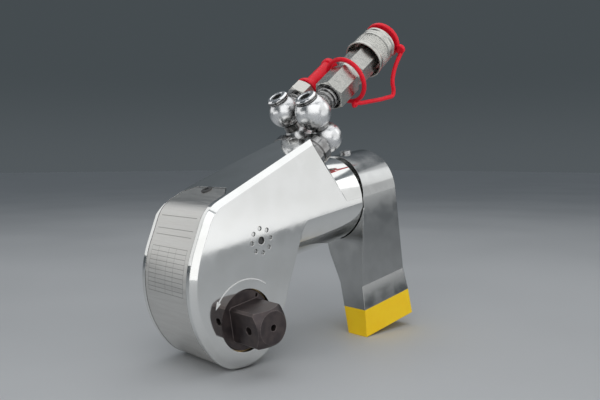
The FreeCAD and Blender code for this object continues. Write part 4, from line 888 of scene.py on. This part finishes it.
def make_strap():
    """Strap of the near dust cap, running from the ring's knob towards the cap."""
    route = STRAP["route"]
    shape = sweep(smooth_route(route), STRAP["radius"], sides=16)
    made = line_piece("strap_skin", shape, "near", None, "red_plastic")
    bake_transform(made)
    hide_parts("female_cap_strap")


# White arrow on the near face that shows which way the drive turns, about the drive's axis
ARROW = {"radius": 29.5, "start": 45, "end": 137, "steps": 40, "tail": 0.35, "body": 0.55, "rise": 0.08,
         "inlay": 0.05}
ARROW_HEAD = {"length": 5.6, "width": 1.9, "overlap": 0.2, "slant": 0.4}


def make_arrow():
    """Inlaid arc that widens towards its head."""
    edges = []
    for step in range(ARROW["steps"] + 1):
        share = step / ARROW["steps"]
        half = ARROW["tail"] + (ARROW["body"] - ARROW["tail"]) * share
        spoke = direction(ARROW["start"] + (ARROW["end"] - ARROW["start"]) * share)
        edges.append((spoke * (ARROW["radius"] + half), spoke * (ARROW["radius"] - half)))
    faces = [(outer, inner, next_inner, next_outer)
             for (outer, inner), (next_outer, next_inner) in zip(edges, edges[1:])]
    spoke = direction(ARROW["end"])
    ahead = direction(ARROW["end"] + 90)
    base = spoke * ARROW["radius"] - ahead * ARROW_HEAD["overlap"]
    faces.append((base + spoke * ARROW_HEAD["width"], base - spoke * ARROW_HEAD["width"],
                  base + ahead * ARROW_HEAD["length"] - spoke * ARROW_HEAD["slant"]))
    shape = bmesh.new()
    for face in faces:
        shape.faces.new([shape.verts.new((x, -ARROW["rise"], z)) for x, z in face])
    bmesh.ops.remove_doubles(shape, verts=shape.verts, dist=MERGE)
    made = bmesh.ops.extrude_face_region(shape, geom=shape.faces[:])
    moved = [item for item in made["geom"] if isinstance(item, bmesh.types.BMVert)]
    bmesh.ops.translate(shape, verts=moved, vec=(0, ARROW["rise"] + ARROW["inlay"], 0))
    mesh_data = finish_mesh("turn_arrow", shape, sharp=30)
    add_object("turn_arrow", mesh_data, TOOL, "tool", "red_plastic", material=WHITE_PAINT)


def direction(degrees):
    """Unit vector at an angle in the plane of the near face."""
    angle = math.radians(degrees)
    return Vector((math.cos(angle), math.sin(angle)))


# Studio. Places are in metres, and a light's brightness is that of its face.
FLOOR_SIZE = 8
HORIZON = (0.086, 0.099, 0.108)
SKY = (0.060, 0.072, 0.079)
HIGH_SKY = (0.19, 0.21, 0.23)
# One colour turns into the next between two rises of the view, which go from -1 down to 1 up.
HORIZON_RISES = (-0.02, 0.14)
HIGH_SKY_RISES = (0.30, 0.75)
FLOOR_LIGHTS = {
    "front_box": {"place": (-0.62, -0.80, 0.50), "target": (0.10, 0.03, 0.10), "size": (1.7, 1.2),
                  "brightness": 1.08},
    "top_box": {"place": (0.2, 0.1, 1.1), "target": (0.2, 0.1, 0), "size": (1.4, 1.4), "brightness": 0.95},
}
TOOL_LIGHTS = {
    "side_box": {"place": (0.559, -0.45, 0.4225), "target": (0.559, 0, 0.4225), "size": (0.96, 0.80),
                 "brightness": 0.74, "roll": 9.5},
    "left_box": {"place": (-0.75, 0.45, 0.06), "target": (0, 0.03, 0.03), "size": (0.7, 0.22),
                 "brightness": 1.0},
    "right_box": {"place": (0.95, -0.25, 0.62), "target": (0.12, 0.03, 0.08), "size": (0.9, 0.5),
                  "brightness": 0.65},
    "plate_box": {"place": (-0.45, 0.95, 0.50), "target": (0, 0.03, 0.05), "size": (0.8, 0.8),
                  "brightness": 0.8},
}
CAMERA = {"place": (-0.27451, -0.34098, 0.11218), "pitch": 86.46, "turn": -43.71, "lens": 37.55,
          "sensor": 36, "nearest": 0.01}


def make_floor():
    """Wide floor at the height of the nose that the tool stands on."""
    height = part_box("housing")[0].z
    corners = [(x * FLOOR_SIZE, y * FLOOR_SIZE, height) for x, y in ((-1, -1), (1, -1), (1, 1), (-1, 1))]
    mesh_data = bpy.data.meshes.new("floor")
    mesh_data.from_pydata(corners, [], [(0, 1, 2, 3)])
    mesh_data.materials.append(studio_floor())
    made = bpy.data.objects.new("floor", mesh_data)
    bpy.context.scene.collection.objects.link(made)
    return made


def make_sky():
    """Sky that goes from the horizon's grey to a darker one, and is lighter high above the tool."""
    world = bpy.data.worlds.new("studio")
    world.use_nodes = True
    bpy.context.scene.world = world
    tree = world.node_tree
    heading = add_node(tree, "ShaderNodeTexCoord").outputs["Generated"]
    upward = add_node(tree, "ShaderNodeSeparateXYZ", Vector=heading).outputs["Z"]
    sky = blended(tree, ramp(tree, upward, *HORIZON_RISES), HORIZON, SKY)
    sky = blended(tree, ramp(tree, upward, *HIGH_SKY_RISES), sky, HIGH_SKY)
    tree.links.new(sky, tree.nodes["Background"].inputs["Color"])


def make_lights(floor):
    """Two soft lights for the whole scene, and four that leave the floor out."""
    for name, light in FLOOR_LIGHTS.items():
        softbox(name, **light)
    shaded = bpy.data.collections.new("shaded_floor")
    shaded.objects.link(floor)
    for item in shaded.collection_objects:
        item.light_linking.link_state = "EXCLUDE"
    for name, light in TOOL_LIGHTS.items():
        softbox(name, **light).light_linking.receiver_collection = shaded


def softbox(name, place, target, size, brightness, roll=0.0):
    """Rectangular light that shines with an even brightness towards a target."""
    lamp = bpy.data.lights.new(name, "AREA")
    lamp.shape = "RECTANGLE"
    lamp.size, lamp.size_y = size
    lamp.energy = brightness * math.pi * size[0] * size[1]
    made = bpy.data.objects.new(name, lamp)
    bpy.context.scene.collection.objects.link(made)
    aim = (Vector(target) - Vector(place)).to_track_quat("-Z", "Y").to_matrix().to_4x4()
    made.matrix_world = Matrix.Translation(place) @ aim @ Matrix.Rotation(math.radians(roll), 4, "Z")
    return made


def make_camera():
    """Camera at the photograph's viewing angle."""
    lens = bpy.data.cameras.new("camera")
    lens.lens = CAMERA["lens"]
    lens.sensor_width = CAMERA["sensor"]
    lens.clip_start = CAMERA["nearest"]
    made = bpy.data.objects.new("camera", lens)
    made.location = CAMERA["place"]
    made.rotation_euler = (math.radians(CAMERA["pitch"]), 0, math.radians(CAMERA["turn"]))
    bpy.context.scene.collection.objects.link(made)
    bpy.context.scene.camera = made
    bpy.context.scene.view_settings.view_transform = "Standard"


dress_nodes()
make_upper_balls()
make_plugs()
make_near_fitting()
make_far_fitting()
make_sleeve()
make_female_cap()
make_male_cap()
make_tether()
make_strap()
make_arrow()
make_sky()
make_lights(make_floor())
make_camera()
